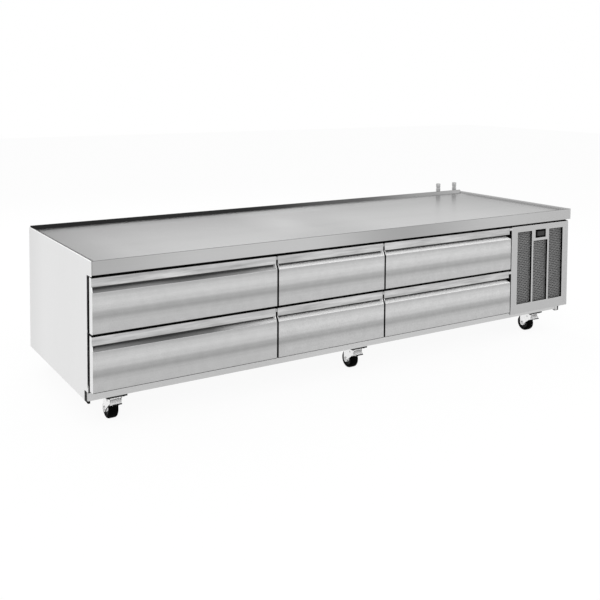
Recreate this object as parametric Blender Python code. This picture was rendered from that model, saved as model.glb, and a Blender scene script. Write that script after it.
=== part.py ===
# Refrigerated chef base: six drawers in three columns, a machine bay at the right end, six casters.
# Metres, +Z up, the front faces -Y. The origin is on the floor, under the middle of the whole part.

import math

import bmesh
import bpy
from mathutils import Matrix, Vector

for old in list(bpy.data.objects):
    bpy.data.objects.remove(old, do_unlink=True)

# Overall
length = 2.438
depth = 0.800
height = 0.607

# Fits and helpers
gap = 0.0003
overrun = 0.010
sharp_angle = math.radians(35)

# Worktop
band_height = 0.051
band_hem = 0.002
surface_drop = 0.010
rim_width = 0.022
rim_crest = 0.002
slab_thickness = 0.024
back_rise = 0.006
back_crest = 0.004

# Outer sheets
side_sheet = 0.004
side_ear_height = 0.055
body_setback = 0.045
side_skirt = 0.007
end_overhang = 0.011
back_sheet = 0.003
rail_notch_height = 0.036
rail_notch_depth = 0.012

# Base rails and caster plates
rail_height = 0.030
rail_depth = 0.080
rail_sheet = 0.003
rail_setback = 0.040
rail_end_inset = 0.038
plate_side = 0.076
plate_thickness = 0.003

# Cold box
bulkhead_setback = 0.007
wall = 0.032
floor_thickness = 0.024
ceiling_thickness = 0.030
frame_thickness = 0.010

# Drawer grid
grid_start = 0.002
grid_end_clearance = 0.020
grid_foot_reveal = 0.011
narrow_front = 0.521
front_reveal = 0.006
row_reveal = 0.008
end_overlap = 0.022
upright_sheet = 0.0014

# Drawer fronts
front_thickness = 0.022
band_drop = 0.0325
band_sheet = 0.006
pocket_top = 0.018
pocket_back = 0.003
pocket_foot = 0.044
cap_sheet = 0.003
lip_foot = 0.050
lip_round = 0.004
panel_proud = 0.010
bottom_round = 0.004

# Drawer boxes, rails and tracks
box_rear_clearance = 0.053
box_head_clearance = 0.0245
box_wall = 0.002
box_floor_drop = 0.008
track_depth = 0.012
track_sheet = 0.002
track_rear_clearance = 0.129
track_drop = 0.0745
slide_bar_height = 0.016
slide_bar_width = 0.010
slide_headroom = 0.001
side_clearance = 0.002
air_window_length = 0.180
air_window_height = 0.110

# Drawer gaskets
gasket_width = 0.014
gasket_web = 0.002

# Machine bay front
compartment_width = 0.390
bay_setback = 0.004
bay_thickness = 0.010
bay_top_drop = 0.060
bay_skirt = 0.005
bay_return_sheet = 0.003
corner_strip = 0.018
window_bar = 0.0115
window_side_margin = 0.0395
window_head = 0.028
window_foot = 0.046
screen_margin = 0.008
screen_thickness = 0.002

# Controller
bezel_width = 0.067
bezel_height = 0.039
bezel_proud = 0.002
bezel_drop = 0.0255
bezel_clearance = 0.0135
housing_inset = 0.004
housing_depth = 0.048
display_width = 0.052
display_height = 0.025
display_depth = 0.006
display_sink = 0.0008

# Condensing unit
tray_thickness = 0.003
tray_setback = 0.062
tray_rear_clearance = 0.010
coil_side_clearance = 0.031
coil_height = 0.330
coil_core = 0.006
coil_fin_reach = 0.022
coil_fin_thickness = 0.003
coil_fin_count = 22
coil_setback = 0.072
shroud_depth = 0.045
shroud_sheet = 0.002
fan_margin = 0.040
fan_tip_clearance = 0.006
fan_blade_thickness = 0.004
fan_blade_chord = 0.055
fan_blade_pitch = math.radians(28)
fan_blade_count = 5
hub_radius = 0.032
hub_length = 0.030
motor_radius = 0.040
motor_length = 0.055
strut_width = 0.012
strut_thickness = 0.004
compressor_radius = 0.085
compressor_height = 0.200
compressor_foot_rim = 0.005
compressor_foot_thickness = 0.004
compressor_back_clearance = 0.150
terminal_width = 0.070
terminal_depth = 0.040
terminal_height = 0.060
electrical_width = 0.090
electrical_depth = 0.140
electrical_height = 0.110
electrical_clearance = 0.004
pan_clearance = 0.0621
pan_depth = 0.190
pan_height = 0.045
pan_wall = 0.002
suction_radius = 0.006
suction_bend = 0.035
suction_rise = 0.030
louvre_width = 0.120
louvre_height = 0.010
louvre_pitch = 0.024
louvre_count = 8
louvre_gap = 0.030

# Evaporator
evaporator_side_clearance = 0.053
evaporator_height = 0.200
evaporator_fin_reach = 0.026
evaporator_fin_count = 26
evaporator_shroud_depth = 0.060
evaporator_fan_margin = 0.025
evaporator_hub_radius = 0.020
evaporator_hub_length = 0.022
evaporator_motor_radius = 0.027
evaporator_motor_length = 0.030
evaporator_blade_chord = 0.036
evaporator_blade_count = 5

# Rear stop bracket
stop_spacing = 0.120
stop_inset = 0.078
stop_radius = 0.012
stop_rise = 0.048
stop_depth_below = 0.040
stop_groove = 0.0015
stop_groove_width = 0.004
stop_plate = 0.003
stop_plate_rise = 0.004
stop_plate_side = 0.018

# Casters
caster_inset = 0.107
caster_right_inset = 0.185
wheel_radius = 0.038
wheel_headroom = 0.0097
wheel_width = 0.038
wheel_edge = 0.004
wheel_rim_depth = 0.004
wheel_rim_radius = 0.027
wheel_hub_radius = 0.013
axle_radius = 0.006
axle_end = 0.004
caster_trail = 0.031
raceway_radius = 0.028
raceway_height = 0.010
fork_sheet = 0.003
fork_side_clearance = 0.0025
fork_eye_radius = 0.012
fork_front_reach = 0.024
fork_back_reach = 0.030
pedal_pin_radius = 0.003
pedal_pin_forward = 0.001
pedal_pin_drop = 0.0085
pedal_thickness = 0.004
pedal_width = 0.036
pedal_reach = 0.038
pedal_fall = 0.008
pedal_eye_radius = 0.0055
shoe_drop = 0.016
shoe_thickness = 0.004

# Edges of the worktop. The drawer panels stand out in front of it and the rear stops behind it.
stop_middle = gap + stop_plate / 2 + stop_radius
total_depth = panel_proud + depth + stop_middle + stop_radius
left = -length / 2
right = length / 2
front = panel_proud - total_depth / 2
back = front + depth

# The base stands on the casters, and what lies between it and the worktop follows from that.
base_height = 2 * wheel_radius + wheel_headroom + fork_sheet + raceway_height + gap + plate_thickness
rail_top = base_height + rail_height
panel_foot = base_height - side_skirt
compartment_foot = rail_top - bay_skirt
compressor_foot_side = 2 * (compressor_radius + compressor_foot_rim)
side_overlap = side_sheet + gap + wall + gap + upright_sheet - grid_start

finishes = {
    "brushed_steel": ((0.60, 0.61, 0.62, 1.0), 0.32, 1.0),
    "bright_steel": ((0.82, 0.83, 0.84, 1.0), 0.22, 1.0),
    "zinc": ((0.78, 0.79, 0.80, 1.0), 0.28, 1.0),
    "galvanised": ((0.50, 0.51, 0.52, 1.0), 0.45, 1.0),
    "aluminium": ((0.70, 0.71, 0.72, 1.0), 0.40, 1.0),
    "copper": ((0.72, 0.40, 0.24, 1.0), 0.35, 1.0),
    "white_plastic": ((0.78, 0.79, 0.80, 1.0), 0.55, 0.0),
    "black_plastic": ((0.03, 0.03, 0.03, 1.0), 0.50, 0.0),
    "dark_glass": ((0.05, 0.05, 0.06, 1.0), 0.12, 0.0),
    "black_rubber": ((0.02, 0.02, 0.02, 1.0), 0.75, 0.0),
    "black_enamel": ((0.03, 0.03, 0.035, 1.0), 0.35, 0.0),
}


def place_mesh(name, bm):
    bmesh.ops.recalc_face_normals(bm, faces=bm.faces)
    mesh = bpy.data.meshes.new(name)
    bm.to_mesh(mesh)
    bm.free()
    obj = bpy.data.objects.new(name, mesh)
    bpy.context.scene.collection.objects.link(obj)
    return obj


def box(name, xs, ys, zs):
    bm = bmesh.new()
    bmesh.ops.create_cube(bm, size=1)
    size = Vector((xs[1] - xs[0], ys[1] - ys[0], zs[1] - zs[0]))
    middle = Vector((xs[0] + xs[1], ys[0] + ys[1], zs[0] + zs[1])) / 2
    bm.transform(Matrix.Translation(middle) @ Matrix.Diagonal(size.to_4d()))
    return place_mesh(name, bm)


def point_on(axis, along, u, v):
    """A point at this distance along the axis, with the other two coordinates in their usual order."""
    return {"X": (along, u, v), "Y": (u, along, v), "Z": (u, v, along)}[axis]


def extruded(name, outline, axis, span):
    """The closed outline, given in the plane square to the axis, drawn out over the span."""
    bm = bmesh.new()
    ends = [[bm.verts.new(point_on(axis, along, u, v)) for u, v in outline] for along in span]
    count = len(outline)
    bm.faces.new(ends[0])
    bm.faces.new(ends[1])
    for i in range(count):
        j = (i + 1) % count
        bm.faces.new((ends[0][i], ends[0][j], ends[1][j], ends[1][i]))
    return place_mesh(name, bm)


def turned(name, profile, axis, centre, segments, closed=False):
    """A profile of (along, radius) points turned about the axis through the centre (u, v)."""
    bm = bmesh.new()
    rings = []
    for along, radius in profile:
        if radius == 0:
            rings.append([bm.verts.new(point_on(axis, along, *centre))] * segments)
            continue
        ring = []
        for i in range(segments):
            turn = 2 * math.pi * i / segments
            u = centre[0] + radius * math.cos(turn)
            v = centre[1] + radius * math.sin(turn)
            ring.append(bm.verts.new(point_on(axis, along, u, v)))
        rings.append(ring)
    pairs = list(zip(rings, rings[1:]))
    if closed:
        pairs.append((rings[-1], rings[0]))
    for first, second in pairs:
        for i in range(segments):
            j = (i + 1) % segments
            corners = dict.fromkeys((first[i], first[j], second[j], second[i]))
            if len(corners) > 2:
                bm.faces.new(corners)
    return place_mesh(name, bm)


def rod(name, axis, centre, radius, span, segments=16):
    low, high = span
    profile = [(low, 0), (low, radius), (high, radius), (high, 0)]
    return turned(name, profile, axis, centre, segments)


def combine(obj, other, operation):
    modifier = obj.modifiers.new(other.name, "BOOLEAN")
    modifier.operation = operation
    modifier.solver = "EXACT"
    modifier.object = other
    other.hide_render = True
    other.display_type = "WIRE"


def add(obj, *others):
    for other in others:
        combine(obj, other, "UNION")


def cut(obj, *others):
    for other in others:
        combine(obj, other, "DIFFERENCE")


def smooth(obj):
    obj.data.shade_smooth()
    obj.data.set_sharp_from_angle(angle=sharp_angle)


def hinge_at(obj, point):
    """Moves the object's origin onto its joint, with the shape left where it is."""
    obj.data.transform(Matrix.Translation(-Vector(point)))
    obj.location = point


def dress(obj, kind):
    colour, roughness, metallic = finishes[kind]
    material = bpy.data.materials.new(obj.name + "_finish")
    material.use_nodes = True
    shader = material.node_tree.nodes["Principled BSDF"]
    shader.inputs["Base Color"].default_value = colour
    shader.inputs["Roughness"].default_value = roughness
    shader.inputs["Metallic"].default_value = metallic
    obj.data.materials.append(material)
    return obj


def arc(centre, radius, start, end, steps):
    turns = [start + (end - start) * i / steps for i in range(steps + 1)]
    return [(centre[0] + radius * math.cos(t), centre[1] + radius * math.sin(t)) for t in turns]


def open_tray(name, xs, ys, zs, sheet):
    """A tray of one sheet thickness, open at the top."""
    tray = box(name, xs, ys, zs)
    hollow = box(
        name + "_hollow",
        (xs[0] + sheet, xs[1] - sheet),
        (ys[0] + sheet, ys[1] - sheet),
        (zs[0] + sheet, zs[1] + overrun),
    )
    cut(tray, hollow)
    return tray


# Levels and places shared by several pieces
surface_level = height - surface_drop
slab_foot = surface_level - slab_thickness
floor_span = (rail_top + gap, rail_top + gap + floor_thickness)
ceiling_span = (slab_foot - gap - ceiling_thickness, slab_foot - gap)
inside_span = (floor_span[1] + gap, ceiling_span[0] - gap)
body_right = right - end_overhang
compartment_left = body_right - compartment_width
cold_left = left + side_sheet + gap
cold_right = compartment_left - bulkhead_setback
frame_front = front + body_setback
cold_front = frame_front + frame_thickness + gap
back_sheet_front = back - gap - back_sheet
cold_back = back_sheet_front - gap
track_length = cold_back - wall - cold_front - track_rear_clearance
box_length = cold_front + track_length - front - front_thickness - gap - box_rear_clearance
bay_front = front + bay_setback
bay_back = bay_front + bay_thickness
front_back = front + front_thickness

first_top = height - band_height - row_reveal
row_names = ("upper", "lower")
rows_height = first_top - rail_top - grid_foot_reveal
front_height = (rows_height - row_reveal * (len(row_names) - 1)) / len(row_names)
row_tops = [first_top - row * (front_height + row_reveal) for row in range(len(row_names))]
row_spans = [(top - front_height, top) for top in row_tops]
column_names = ("left", "middle", "right")
column_spans = []
column_start = left + grid_start
columns_width = compartment_left - grid_end_clearance - column_start
wide_front = (columns_width - narrow_front - 2 * front_reveal) / 2
for column_width in (wide_front, narrow_front, wide_front):
    column_spans.append((column_start, column_start + column_width))
    column_start += column_width + front_reveal
opening_columns = [(low + side_overlap, high - side_overlap) for low, high in column_spans]
opening_rows = [(low + end_overlap, high - end_overlap) for low, high in row_spans]
opening_height = front_height - 2 * end_overlap
box_height = opening_height - box_floor_drop - box_head_clearance
track_levels = [high - track_drop for low, high in opening_rows]


def make_worktop():
    xs = (cold_left, right)
    ys = (front, back)
    top = box("worktop", xs, ys, (height - band_height, height))
    bm = bmesh.new()
    spread = (rim_width - rim_crest) * overrun / surface_drop
    for level, grow in ((surface_level, rim_width), (height + overrun, rim_crest - spread)):
        for x, y in ((0, 0), (1, 0), (1, 1), (0, 1)):
            bm.verts.new((xs[x] + grow * (1 - 2 * x), ys[y] + grow * (1 - 2 * y), level))
    bm.verts.ensure_lookup_table()
    lower, upper = bm.verts[:4], bm.verts[4:]
    bm.faces.new(lower)
    bm.faces.new(upper)
    for i in range(4):
        j = (i + 1) % 4
        bm.faces.new((lower[i], lower[j], upper[j], upper[i]))
    recess = place_mesh("worktop_recess", bm)
    lip_outline = [
        (back - rim_width, surface_level),
        (back - back_crest, height + back_rise),
        (back, height + back_rise),
        (back, surface_level - surface_drop),
        (back - rim_width, surface_level - surface_drop),
    ]
    lip = extruded("worktop_back_lip", lip_outline, "X", xs)
    underside = box(
        "worktop_underside",
        (xs[0] - overrun, xs[1] - band_hem),
        (ys[0] + band_hem, ys[1] - band_hem),
        (height - band_height - overrun, slab_foot),
    )
    cut(top, recess)
    add(top, lip)
    cut(top, underside)
    dress(top, "brushed_steel")


def make_left_side_panel():
    foot = panel_foot
    ear_foot = height - side_ear_height
    notch_top = foot + rail_notch_height
    outline = [
        (front, height),
        (front, ear_foot),
        (frame_front, ear_foot),
        (frame_front, notch_top),
        (frame_front + rail_notch_depth, notch_top),
        (frame_front + rail_notch_depth, foot),
        (back, foot),
        (back, height),
    ]
    panel = extruded("left_side_panel", outline, "X", (left, left + side_sheet))
    dress(panel, "bright_steel")


def make_right_side_panel():
    foot = panel_foot
    strip_foot = compartment_foot
    strip_head = height - bay_top_drop
    head = height - band_height - gap
    outline = [
        (bay_front, strip_head),
        (bay_front, strip_foot),
        (frame_front, strip_foot),
        (frame_front + rail_notch_depth, foot),
        (cold_back, foot),
        (cold_back, head),
        (frame_front, head),
    ]
    panel = extruded("right_side_panel", outline, "X", (body_right - side_sheet, body_right))
    strip = box(
        "right_side_panel_strip",
        (body_right - corner_strip, body_right - side_sheet / 2),
        (bay_front, bay_back),
        (strip_foot, strip_head),
    )
    add(panel, strip)
    dress(panel, "brushed_steel")


def make_back_panel():
    foot = panel_foot
    panel = box(
        "back_panel",
        (cold_left, body_right),
        (back_sheet_front, back_sheet_front + back_sheet),
        (foot, height - band_height - gap),
    )
    bay_middle = (cold_right + body_right) / 2
    head = first_top - louvre_gap
    for side in (-1, 1):
        middle = bay_middle + side * (louvre_width + louvre_gap) / 2
        for i in range(louvre_count):
            top = head - i * louvre_pitch
            slot = box(
                f"back_louvre_{side}_{i}",
                (middle - louvre_width / 2, middle + louvre_width / 2),
                (back_sheet_front - overrun, back + overrun),
                (top - louvre_height, top),
            )
            cut(panel, slot)
    dress(panel, "galvanised")


def make_cold_box():
    whole = (cold_left, cold_right)
    ys = (cold_front, cold_back)
    left_inside = cold_left + wall
    right_inside = cold_right - wall
    back_xs = (left_inside + gap, right_inside - gap)
    pieces = {
        "cabinet_floor": (whole, ys, floor_span),
        "cabinet_ceiling": (whole, ys, ceiling_span),
        "cabinet_left_wall": ((cold_left, left_inside), ys, inside_span),
        "cabinet_bulkhead": ((right_inside, cold_right), ys, inside_span),
        "cabinet_back_wall": (back_xs, (cold_back - wall, cold_back), inside_span),
    }
    for name, spans in pieces.items():
        dress(box(name, *spans), "aluminium")


def opening_cutters(name, ys):
    for column, xs in zip(column_names, opening_columns):
        for row, zs in zip(row_names, opening_rows):
            yield box(f"{name}_{column}_{row}", xs, ys, zs)


def make_face_frame():
    frame = box(
        "face_frame",
        (cold_left, cold_right),
        (frame_front, frame_front + frame_thickness),
        (rail_top + gap, slab_foot - gap),
    )
    cut(frame, *opening_cutters("face_opening", (frame_front - overrun, cold_front + overrun)))
    dress(frame, "black_plastic")


def make_gaskets():
    """One moulding: a thin web on the face frame, with a raised seal round each drawer opening."""
    low_x = opening_columns[0][0] - gasket_width
    high_x = opening_columns[-1][1] + gasket_width
    low_z = opening_rows[-1][0] - gasket_width
    high_z = opening_rows[0][1] + gasket_width
    sealing_face = front_back + gap
    frame_face = frame_front - gap
    gaskets = box("drawer_gaskets", (low_x, high_x), (sealing_face, frame_face), (low_z, high_z))
    cut(gaskets, *opening_cutters("gasket_opening", (sealing_face - overrun, frame_front + overrun)))
    moat_ys = (sealing_face - overrun, frame_face - gasket_web)
    for i, (left_opening, right_opening) in enumerate(zip(opening_columns, opening_columns[1:])):
        moat_xs = (left_opening[1] + gasket_width, right_opening[0] - gasket_width)
        cut(gaskets, box(f"gasket_moat_{i}", moat_xs, moat_ys, (low_z - overrun, high_z + overrun)))
    moat_zs = (opening_rows[1][1] + gasket_width, opening_rows[0][0] - gasket_width)
    cut(gaskets, box("gasket_moat_level", (low_x - overrun, high_x + overrun), moat_ys, moat_zs))
    dress(gaskets, "black_rubber")


# The casters stand at these places along X, front and rear.
caster_columns = {
    "left": left + caster_inset,
    "middle": (left + caster_inset + right - caster_right_inset) / 2,
    "right": right - caster_right_inset,
}
caster_rows = {
    "front": front + rail_setback + plate_side / 2,
    "rear": back - rail_setback - plate_side / 2,
}


def make_base_rail(row, outer, inward):
    """A channel open towards the middle of the base, with the three caster plates welded under it."""
    name = "base_rail_" + row
    inner = outer + inward * rail_depth
    sheet = -inward * rail_sheet
    outline = [
        (outer, base_height),
        (outer, rail_top),
        (inner, rail_top),
        (inner, rail_top - rail_sheet),
        (outer - sheet, rail_top - rail_sheet),
        (outer - sheet, base_height + rail_sheet),
        (inner, base_height + rail_sheet),
        (inner, base_height),
    ]
    rail = extruded(name, outline, "X", (cold_left, right - rail_end_inset))
    middle = caster_rows[row]
    for column, x in caster_columns.items():
        plate = box(
            f"{name}_plate_{column}",
            (x - plate_side / 2, x + plate_side / 2),
            (middle - plate_side / 2, middle + plate_side / 2),
            (base_height - plate_thickness, base_height + rail_sheet / 2),
        )
        add(rail, plate)
    dress(rail, "galvanised")


def track_teeth(face, direction):
    """Outline points, going up one face, of the two flanges of the track of each row."""
    points = []
    reach = face + direction * track_depth
    for level in sorted(track_levels):
        upper = level + slide_bar_height + slide_headroom
        for foot in (level - track_sheet, upper):
            points += [(face, foot), (reach, foot), (reach, foot + track_sheet), (face, foot + track_sheet)]
    return points


# Along the depth of a partition, the middles of its two air windows.
window_place_shares = (0.30, 0.72)


def make_upright(name, xs, sides, windows):
    low, high = inside_span
    climb = track_teeth(xs[1], 1) if 1 in sides else []
    fall = track_teeth(xs[0], -1)[::-1] if -1 in sides else []
    outline = [(xs[0], low), (xs[1], low), *climb, (xs[1], high), (xs[0], high), *fall]
    upright = extruded(name, outline, "Y", (cold_front, cold_front + track_length))
    if windows:
        level = (track_levels[0] + track_levels[1] + slide_bar_height) / 2
        for i, share in enumerate(window_place_shares):
            middle = cold_front + track_length * share
            window = box(
                f"{name}_window_{i}",
                (xs[0] - overrun, xs[1] + overrun),
                (middle - air_window_length / 2, middle + air_window_length / 2),
                (level - air_window_height / 2, level + air_window_height / 2),
            )
            cut(upright, window)
    dress(upright, "bright_steel")


def make_uprights():
    left_column, middle_column, right_column = opening_columns
    make_upright("upright_left", (cold_left + wall + gap, left_column[0]), (1,), False)
    make_upright("partition_left", (left_column[1], middle_column[0]), (-1, 1), True)
    make_upright("partition_right", (middle_column[1], right_column[0]), (-1, 1), True)
    make_upright("upright_right", (right_column[1], cold_right - wall - gap), (-1,), False)


def make_drawer(row, column):
    name = f"drawer_{row_names[row]}_{column_names[column]}"
    xs = column_spans[column]
    foot, head = row_spans[row]
    skin = front - panel_proud
    pocket = front_back - pocket_back
    band_back = front + band_sheet
    lip_centre = (skin + lip_round, head - lip_foot - lip_round)
    lip = arc(lip_centre, lip_round, math.radians(120), math.radians(180), 3)
    bottom_centre = (skin + bottom_round, foot + bottom_round)
    bottom = arc(bottom_centre, bottom_round, math.radians(180), math.radians(270), 2)
    band = [(front_back, head), (front, head), (front, head - band_drop)]
    outline = [*band, *lip, *bottom, (front_back, foot)]
    drawer_front = extruded(name + "_front", outline, "X", xs)
    # The finger pocket rises behind the band. Its mouth is open to the front, above the sloping lip.
    pocket_outline = [
        (pocket, head - pocket_top),
        (band_back, head - pocket_top),
        (band_back, head - band_drop),
        (skin - overrun, head - band_drop),
        (skin - overrun, lip[0][1]),
        lip[0],
        (pocket, head - pocket_foot),
    ]
    pocket_xs = (xs[0] + cap_sheet, xs[1] - cap_sheet)
    cut(drawer_front, extruded(name + "_pocket", pocket_outline, "X", pocket_xs))
    hinge_at(drawer_front, ((xs[0] + xs[1]) / 2, front_back, (foot + head) / 2))
    dress(drawer_front, "brushed_steel")

    low_x, high_x = opening_columns[column]
    low_x += track_depth + side_clearance
    high_x -= track_depth + side_clearance
    box_foot = opening_rows[row][0] + box_floor_drop
    ys = (front_back + gap, front_back + gap + box_length)
    drawer_box = open_tray(name + "_box", (low_x, high_x), ys, (box_foot, box_foot + box_height), box_wall)
    bar_foot = track_levels[row] + gap
    bar_zs = (bar_foot, bar_foot + slide_bar_height)
    bar_ys = (cold_front, ys[1])
    for side, face in ((-1, low_x), (1, high_x)):
        bar_xs = sorted((face - side * box_wall / 2, face + side * slide_bar_width))
        add(drawer_box, box(f"{name}_slide_{side}", bar_xs, bar_ys, bar_zs))
    hinge_at(drawer_box, ((xs[0] + xs[1]) / 2, front_back, (foot + head) / 2))
    dress(drawer_box, "bright_steel")


bay_middle = (compartment_left + body_right) / 2
window_width = (compartment_width - 2 * window_side_margin - 2 * window_bar) / 3
window_pitch = window_width + window_bar
window_head_level = height - bay_top_drop - window_head
window_foot_level = compartment_foot + window_foot
bezel_zs = (height - bay_top_drop - bezel_drop - bezel_height, height - bay_top_drop - bezel_drop)
housing_xs = (bay_middle - bezel_width / 2 + housing_inset, bay_middle + bezel_width / 2 - housing_inset)
housing_zs = (bezel_zs[0] + housing_inset, bezel_zs[1] - housing_inset)


def make_bay_front():
    xs = (compartment_left, body_right - corner_strip - gap)
    zs = (compartment_foot, height - bay_top_drop)
    panel = box("compartment_front", xs, (bay_front, bay_back), zs)
    side_return = box(
        "compartment_return",
        (xs[0], xs[0] + bay_return_sheet),
        (bay_back - bay_thickness / 2, frame_front - gap),
        (rail_top + gap, zs[1]),
    )
    add(panel, side_return)
    through = (bay_front - overrun, bay_back + overrun)
    for i in (-1, 0, 1):
        middle = bay_middle + i * window_pitch
        head = window_head_level if i else bezel_zs[0] - bezel_clearance
        window_xs = (middle - window_width / 2, middle + window_width / 2)
        cut(panel, box(f"compartment_window_{i}", window_xs, through, (window_foot_level, head)))
    hole_xs = (housing_xs[0] - gap, housing_xs[1] + gap)
    hole_zs = (housing_zs[0] - gap, housing_zs[1] + gap)
    cut(panel, box("compartment_controller_hole", hole_xs, through, hole_zs))
    dress(panel, "brushed_steel")

    reach = window_pitch + window_width / 2 + screen_margin
    screen_head = window_head_level + screen_margin
    screen_zs = (window_foot_level - screen_margin, screen_head)
    screen_ys = (bay_back + gap, bay_back + gap + screen_thickness)
    screen = box("perforated_screen", (bay_middle - reach, bay_middle + reach), screen_ys, screen_zs)
    notch_zs = (hole_zs[0], screen_head + overrun)
    cut(screen, box("screen_controller_notch", hole_xs, (bay_front, screen_ys[1] + overrun), notch_zs))
    dress(screen, "black_enamel")


def make_controller():
    bezel_xs = (bay_middle - bezel_width / 2, bay_middle + bezel_width / 2)
    face = bay_front - gap - bezel_proud
    housing = box("controller_housing", bezel_xs, (face, bay_front - gap), bezel_zs)
    body_ys = (bay_front - gap - bezel_proud / 2, bay_front + housing_depth)
    add(housing, box("controller_body", housing_xs, body_ys, housing_zs))
    middle = (bezel_zs[0] + bezel_zs[1]) / 2
    display_xs = (bay_middle - display_width / 2, bay_middle + display_width / 2)
    display_zs = (middle - display_height / 2, middle + display_height / 2)
    socket_xs = (display_xs[0] - gap, display_xs[1] + gap)
    socket_zs = (display_zs[0] - gap, display_zs[1] + gap)
    socket_back = face + display_sink + display_depth + gap
    cut(housing, box("display_socket", socket_xs, (face - overrun, socket_back), socket_zs))
    dress(housing, "black_plastic")
    display_ys = (face + display_sink, face + display_sink + display_depth)
    dress(box("controller_display", display_xs, display_ys, display_zs), "dark_glass")


def make_coil(name, xs, middle_y, zs, fin_reach, fin_count):
    """Upright fins on both sides of a core, drawn as one comb."""
    pitch = (xs[1] - xs[0] - coil_fin_thickness) / (fin_count - 1)
    rows = []
    for side in (-1, 1):
        inner = middle_y + side * coil_core / 2
        outer = inner + side * fin_reach
        row = []
        for i in range(fin_count):
            low = xs[0] + i * pitch
            high = low + coil_fin_thickness
            row += [(low, inner), (low, outer), (high, outer), (high, inner)]
        rows.append(row)
    dress(extruded(name, rows[0] + rows[1][::-1], "Z", zs), "aluminium")


def make_shroud(name, xs, zs, plate_y, facing, shroud, fan):
    """A hood over a coil. Its plate is square to Y, with a hole for the fan and a motor on four struts."""
    rim_y = plate_y - facing * shroud
    hood = box(name, xs, sorted((rim_y, plate_y)), zs)
    inner_xs = (xs[0] + shroud_sheet, xs[1] - shroud_sheet)
    inner_zs = (zs[0] + shroud_sheet, zs[1] - shroud_sheet)
    inner_ys = sorted((rim_y - facing * overrun, plate_y - facing * shroud_sheet))
    cut(hood, box(name + "_hollow", inner_xs, inner_ys, inner_zs))
    middle = (fan["x"], fan["z"])
    hole_ys = sorted((rim_y, plate_y + facing * overrun))
    cut(hood, rod(name + "_hole", "Y", middle, fan["radius"] + fan_tip_clearance, hole_ys, 32))
    motor_start = plate_y + facing * (gap + fan["hub_length"] / 2)
    motor_end = motor_start + facing * fan["motor_length"]
    motor_ys = sorted((motor_start, motor_end))
    motor = rod(name + "_motor", "Y", middle, fan["motor_radius"], motor_ys, 20)
    reach = fan["radius"] + fan_tip_clearance + strut_width
    strut_start = motor_start + facing * strut_thickness
    for turn in (0, 1):
        half = (reach, strut_width / 2) if turn else (strut_width / 2, reach)
        strut = box(
            f"{name}_strut_{turn}",
            (middle[0] - half[0], middle[0] + half[0]),
            sorted((strut_start, strut_start + facing * strut_thickness)),
            (middle[1] - half[1], middle[1] + half[1]),
        )
        add(hood, strut)
        for side in (-1, 1):
            x = middle[0] + side * (half[0] - strut_width / 2) * turn
            z = middle[1] + side * (half[1] - strut_width / 2) * (1 - turn)
            leg = box(
                f"{name}_leg_{turn}_{side}",
                (x - strut_width / 2, x + strut_width / 2),
                sorted((plate_y - facing * shroud_sheet / 2, strut_start + facing * strut_thickness)),
                (z - strut_width / 2, z + strut_width / 2),
            )
            add(hood, leg)
    add(hood, motor)
    dress(hood, "galvanised")


def make_fan(name, plate_y, facing, fan):
    """A hub with pitched blades, turning about Y in the hole of its shroud."""
    middle = (fan["x"], fan["z"])
    hub_end = plate_y + facing * fan["hub_length"] / 2
    hub_ys = sorted((hub_end, hub_end - facing * fan["hub_length"]))
    rotor = rod(name, "Y", middle, fan["hub_radius"], hub_ys, 20)
    hub_middle = (hub_ys[0] + hub_ys[1]) / 2
    centre = Vector((middle[0], hub_middle, middle[1]))
    for i in range(fan["blades"]):
        blade = box(
            f"{name}_blade_{i}",
            (fan["hub_radius"] / 2, fan["radius"]),
            (-fan_blade_thickness / 2, fan_blade_thickness / 2),
            (-fan["chord"] / 2, fan["chord"] / 2),
        )
        pitch = Matrix.Rotation(fan_blade_pitch, 4, "X")
        turn = Matrix.Rotation(2 * math.pi * i / fan["blades"], 4, "Y")
        blade.data.transform(Matrix.Translation(centre) @ turn @ pitch)
        add(rotor, blade)
    hinge_at(rotor, centre)
    dress(rotor, "black_plastic")


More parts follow.
